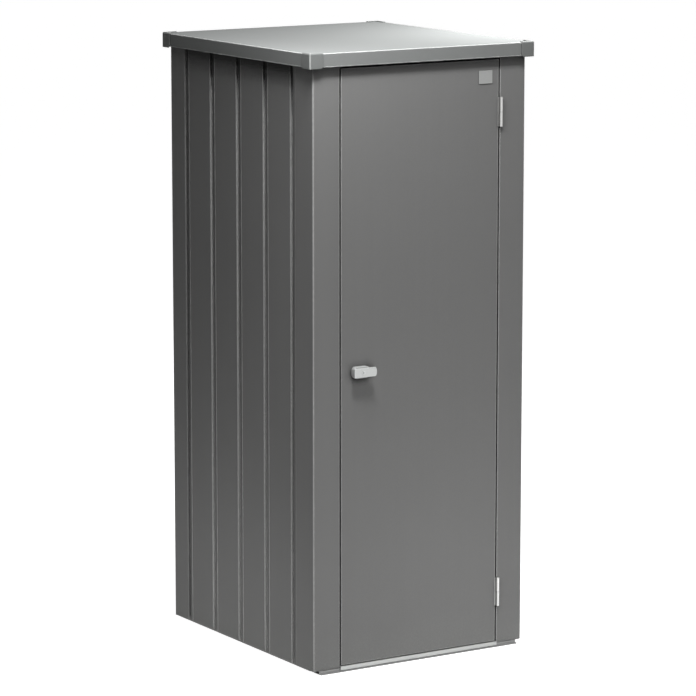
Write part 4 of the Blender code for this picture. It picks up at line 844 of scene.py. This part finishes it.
def stiffener_rivets():
    places = []
    for side in ("left", "right"):
        low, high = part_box("door_stiffener_" + side)
        step = (high.z - low.z) / STIFFENER_RIVETS
        for x in (low.x + STIFFENER_FOOT_MIDDLE, high.x - STIFFENER_FOOT_MIDDLE):
            places += [(Vector((x, low.y + STIFFENER_SHEET, low.z + step * (row + 0.5))), REAR)
                       for row in range(STIFFENER_RIVETS)]
    return places


def leaf_screws(leaf, face_x, way):
    """Three flush screws in one leaf of each hinge."""
    places = []
    for height in ("upper", "lower"):
        node = height + "_hinge_" + leaf
        middle, back = middle_of(node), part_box(node)[1].y
        places += [(Vector((face_x, back - LEAF_SCREW_DEPTH,
                            middle.z + step * LEAF_SCREW_SPACING)), way) for step in (-1, 0, 1)]
    return places


def inner_screws():
    """Screws of the tool rail, hooks, shelf brackets, top rails and floor."""
    low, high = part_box("tool_rail")
    places = [(Vector((x, high.y - RAIL_SHEET, z)), FRONT) for x in TOOL_RAIL_SCREWS
              for z in (low.z + TOOL_RAIL_FOOT_MIDDLE, high.z - TOOL_RAIL_FOOT_MIDDLE)]
    for side in ("left", "right"):
        way = RIGHT if side == "left" else LEFT
        hook = middle_of("tool_hook_" + side)
        plate_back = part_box("tool_hook_" + side)[1].y
        places += [(Vector((hook.x, plate_back - HOOK_PLATE_SHEET, hook.z + reach)), FRONT)
                   for reach in (-HOOK_SCREW_REACH, HOOK_SCREW_REACH)]
        low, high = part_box("shelf_bracket_" + side)
        wall_x = (low.x if side == "left" else high.x) + way.x * RAIL_SHEET
        places += [(Vector((wall_x, y, high.z - BRACKET_SCREW_DROP)), way)
                   for y in (low.y + BRACKET_SCREW_INSET, (low.y + high.y) / 2,
                             high.y - BRACKET_SCREW_INSET)]
        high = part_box("top_" + side + "_rail")[1]
        places += [(Vector((wall_x, y, high.z - TOP_RAIL_SCREW_DROP)), way) for y in SIDE_LAPS]
        places += [(Vector((-way.x * FLOOR_SCREW_X, y, FLOOR_TOP)), UP) for y in FLOOR_SCREW_YS]
    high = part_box("top_rear_rail")[1]
    places += [(Vector((x, high.y - RAIL_SHEET, high.z - TOP_RAIL_SCREW_DROP)), FRONT)
               for x in REAR_LAPS]
    return places


def strike_and_sill_screws():
    middle, low = middle_of("upper_strike_plate"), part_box("upper_strike_plate")[0]
    places = [(Vector((middle.x + reach, middle.y, low.z)), DOWN)
              for reach in (-STRIKE_SCREW_REACH, STRIKE_SCREW_REACH)]
    return places + [(Vector((x, SILL_SCREW_Y, SILL_TOP)), UP) for x in SILL_SCREWS]


def nut_place():
    middle = middle_of("spindle")
    return [(Vector((middle.x, NUT_SEAT, middle.z)), REAR)]


fasteners("lock_case_screws", "door", PAN_SCREW, lock_screws())
fasteners("rod_guide_screws", "door", GUIDE_SCREW, guide_screws())
fasteners("stiffener_rivets", "door", BLIND_RIVET, stiffener_rivets())
fasteners("door_leaf_screws", "door", FLUSH_SCREW,
          leaf_screws("door_leaf", DOOR_LEAF_FACE, RIGHT))
fasteners("frame_leaf_screws", "cabinet", FLUSH_SCREW,
          leaf_screws("frame_leaf", FRAME_LEAF_FACE, LEFT))
fasteners("inner_rail_screws", "cabinet", PAN_SCREW, inner_screws())
fasteners("strike_and_sill_screws", "cabinet", FLUSH_SCREW, strike_and_sill_screws())
fasteners("spindle_nut", "handle", SPINDLE_NUT, nut_place())


# Floor, light and camera

WHITE = (1, 1, 1, 1)
FLOOR_SIZE = 60.0
FLOOR_GREY = (0.70, 0.70, 0.70, 1)
FLOOR_ROUGHNESS = 0.9
FLOOR_GLOSS = 0.1
FLOOR_GLOW = 0.96
AMBIENT = 0.01

# Name, place, the point that it faces, width, height and power in watts
SOFTBOXES = (
    ("overhead", (-0.58, -0.78, 2.6), (-0.2, -0.4, 0.9), 0.3, 0.3, 12.0),
    ("front", (-0.42, -1.62, 4.4), (0.0, 0.0, 1.2), 0.5, 0.5, 93.0),
    ("far", (0.3, -4.5, 3.4), (0.0, 0.0, 1.0), 1.0, 1.0, 14.0),
    ("corner", (-0.62, -0.62, 2.3), (-0.3, -0.4, 0.9), 0.2, 0.2, 1.3),
    ("left_strip", (-0.8, -0.45, 1.15), (-0.37, -0.22, 1.15), 0.1, 1.0, 0.5),
    ("roof", (0.78, -0.2, 2.3), (0.35, -0.1, 1.8), 0.4, 0.4, 20.0),
    ("low_left", (-1.0, 0.0, 0.12), (-0.36, 0.05, 0.2), 1.2, 0.15, 1.8),
    ("low_front", (-0.2, -2.4, 0.3), (0.0, -0.4, 0.4), 1.2, 0.3, 5.2),
    ("low_right", (0.8, -2.2, 0.25), (0.2, -0.4, 0.2), 1.0, 0.3, 1.8),
    ("sill", (0.15, -1.3, 0.12), (0.14, -0.4, 0.2), 1.0, 0.15, 2.5),
    ("right_side", (4.5, 1.0, 1.5), (0.0, 0.0, 1.0), 2.0, 2.0, 40.0),
    ("rear", (1.2, 5.0, 2.2), (0.3, 0.0, 1.0), 2.0, 2.0, 40.0),
)


def seen_mask(tree):
    """1 for rays that the camera, a reflection or a glass pane sends out."""
    path = add_node(tree, "LightPath").outputs
    mirrored = maths(tree, "MAXIMUM", path["Is Camera Ray"], path["Is Glossy Ray"])
    return maths(tree, "MAXIMUM", mirrored, path["Is Transmission Ray"])


def make_floor():
    bm = bmesh.new()
    bmesh.ops.create_grid(bm, x_segments=1, y_segments=1, size=FLOOR_SIZE / 2)
    floor = new_piece("studio_floor", bm)
    material, tree, shader = new_material("studio_floor_white")
    fill(tree, shader, {
        "Base Color": FLOOR_GREY, "Roughness": FLOOR_ROUGHNESS,
        "Specular IOR Level": FLOOR_GLOSS, "Emission Color": WHITE,
        "Emission Strength": times(tree, seen_mask(tree), FLOOR_GLOW)})
    floor.data.materials.append(material)


def make_world():
    """White to the eye and in reflections, nearly dark to all that the lamps light."""
    world = bpy.data.worlds.new("studio_air")
    bpy.context.scene.world = world
    world.use_nodes = True
    tree = world.node_tree
    dim = tree.nodes["Background"]
    fill(tree, dim, {"Color": WHITE, "Strength": AMBIENT})
    shown = add_node(tree, "Background", {"Color": WHITE, "Strength": 1.0})
    mix = add_node(tree, "MixShader", {0: seen_mask(tree), 1: dim.outputs[0], 2: shown.outputs[0]})
    tree.links.new(mix.outputs[0], tree.nodes["World Output"].inputs["Surface"])


def make_softbox(name, place, target, width, height, power):
    light = bpy.data.lights.new(name + "_softbox", "AREA")
    light.shape = "RECTANGLE"
    light.size = width
    light.size_y = height
    light.energy = power
    item = bpy.data.objects.new(name + "_softbox", light)
    bpy.context.scene.collection.objects.link(item)
    item.location = place
    way = Vector(target) - Vector(place)
    item.rotation_euler = way.to_track_quat("-Z", "Y").to_euler()
    item.visible_camera = False


def make_camera():
    """The camera at the photograph's place, with its lens."""
    camera = bpy.data.cameras.new("photo_camera")
    camera.lens = FOCAL_LENGTH
    camera.sensor_width = SENSOR_WIDTH
    item = bpy.data.objects.new("photo_camera", camera)
    bpy.context.scene.collection.objects.link(item)
    item.location = CAMERA_PLACE
    item.rotation_euler = (math.radians(90) - VIEW_ELEVATION, 0, VIEW_AZIMUTH)
    bpy.context.scene.camera = item


make_floor()
make_world()
for row in SOFTBOXES:
    make_softbox(*row)
make_camera()
bpy.context.scene.view_settings.view_transform = "Standard"
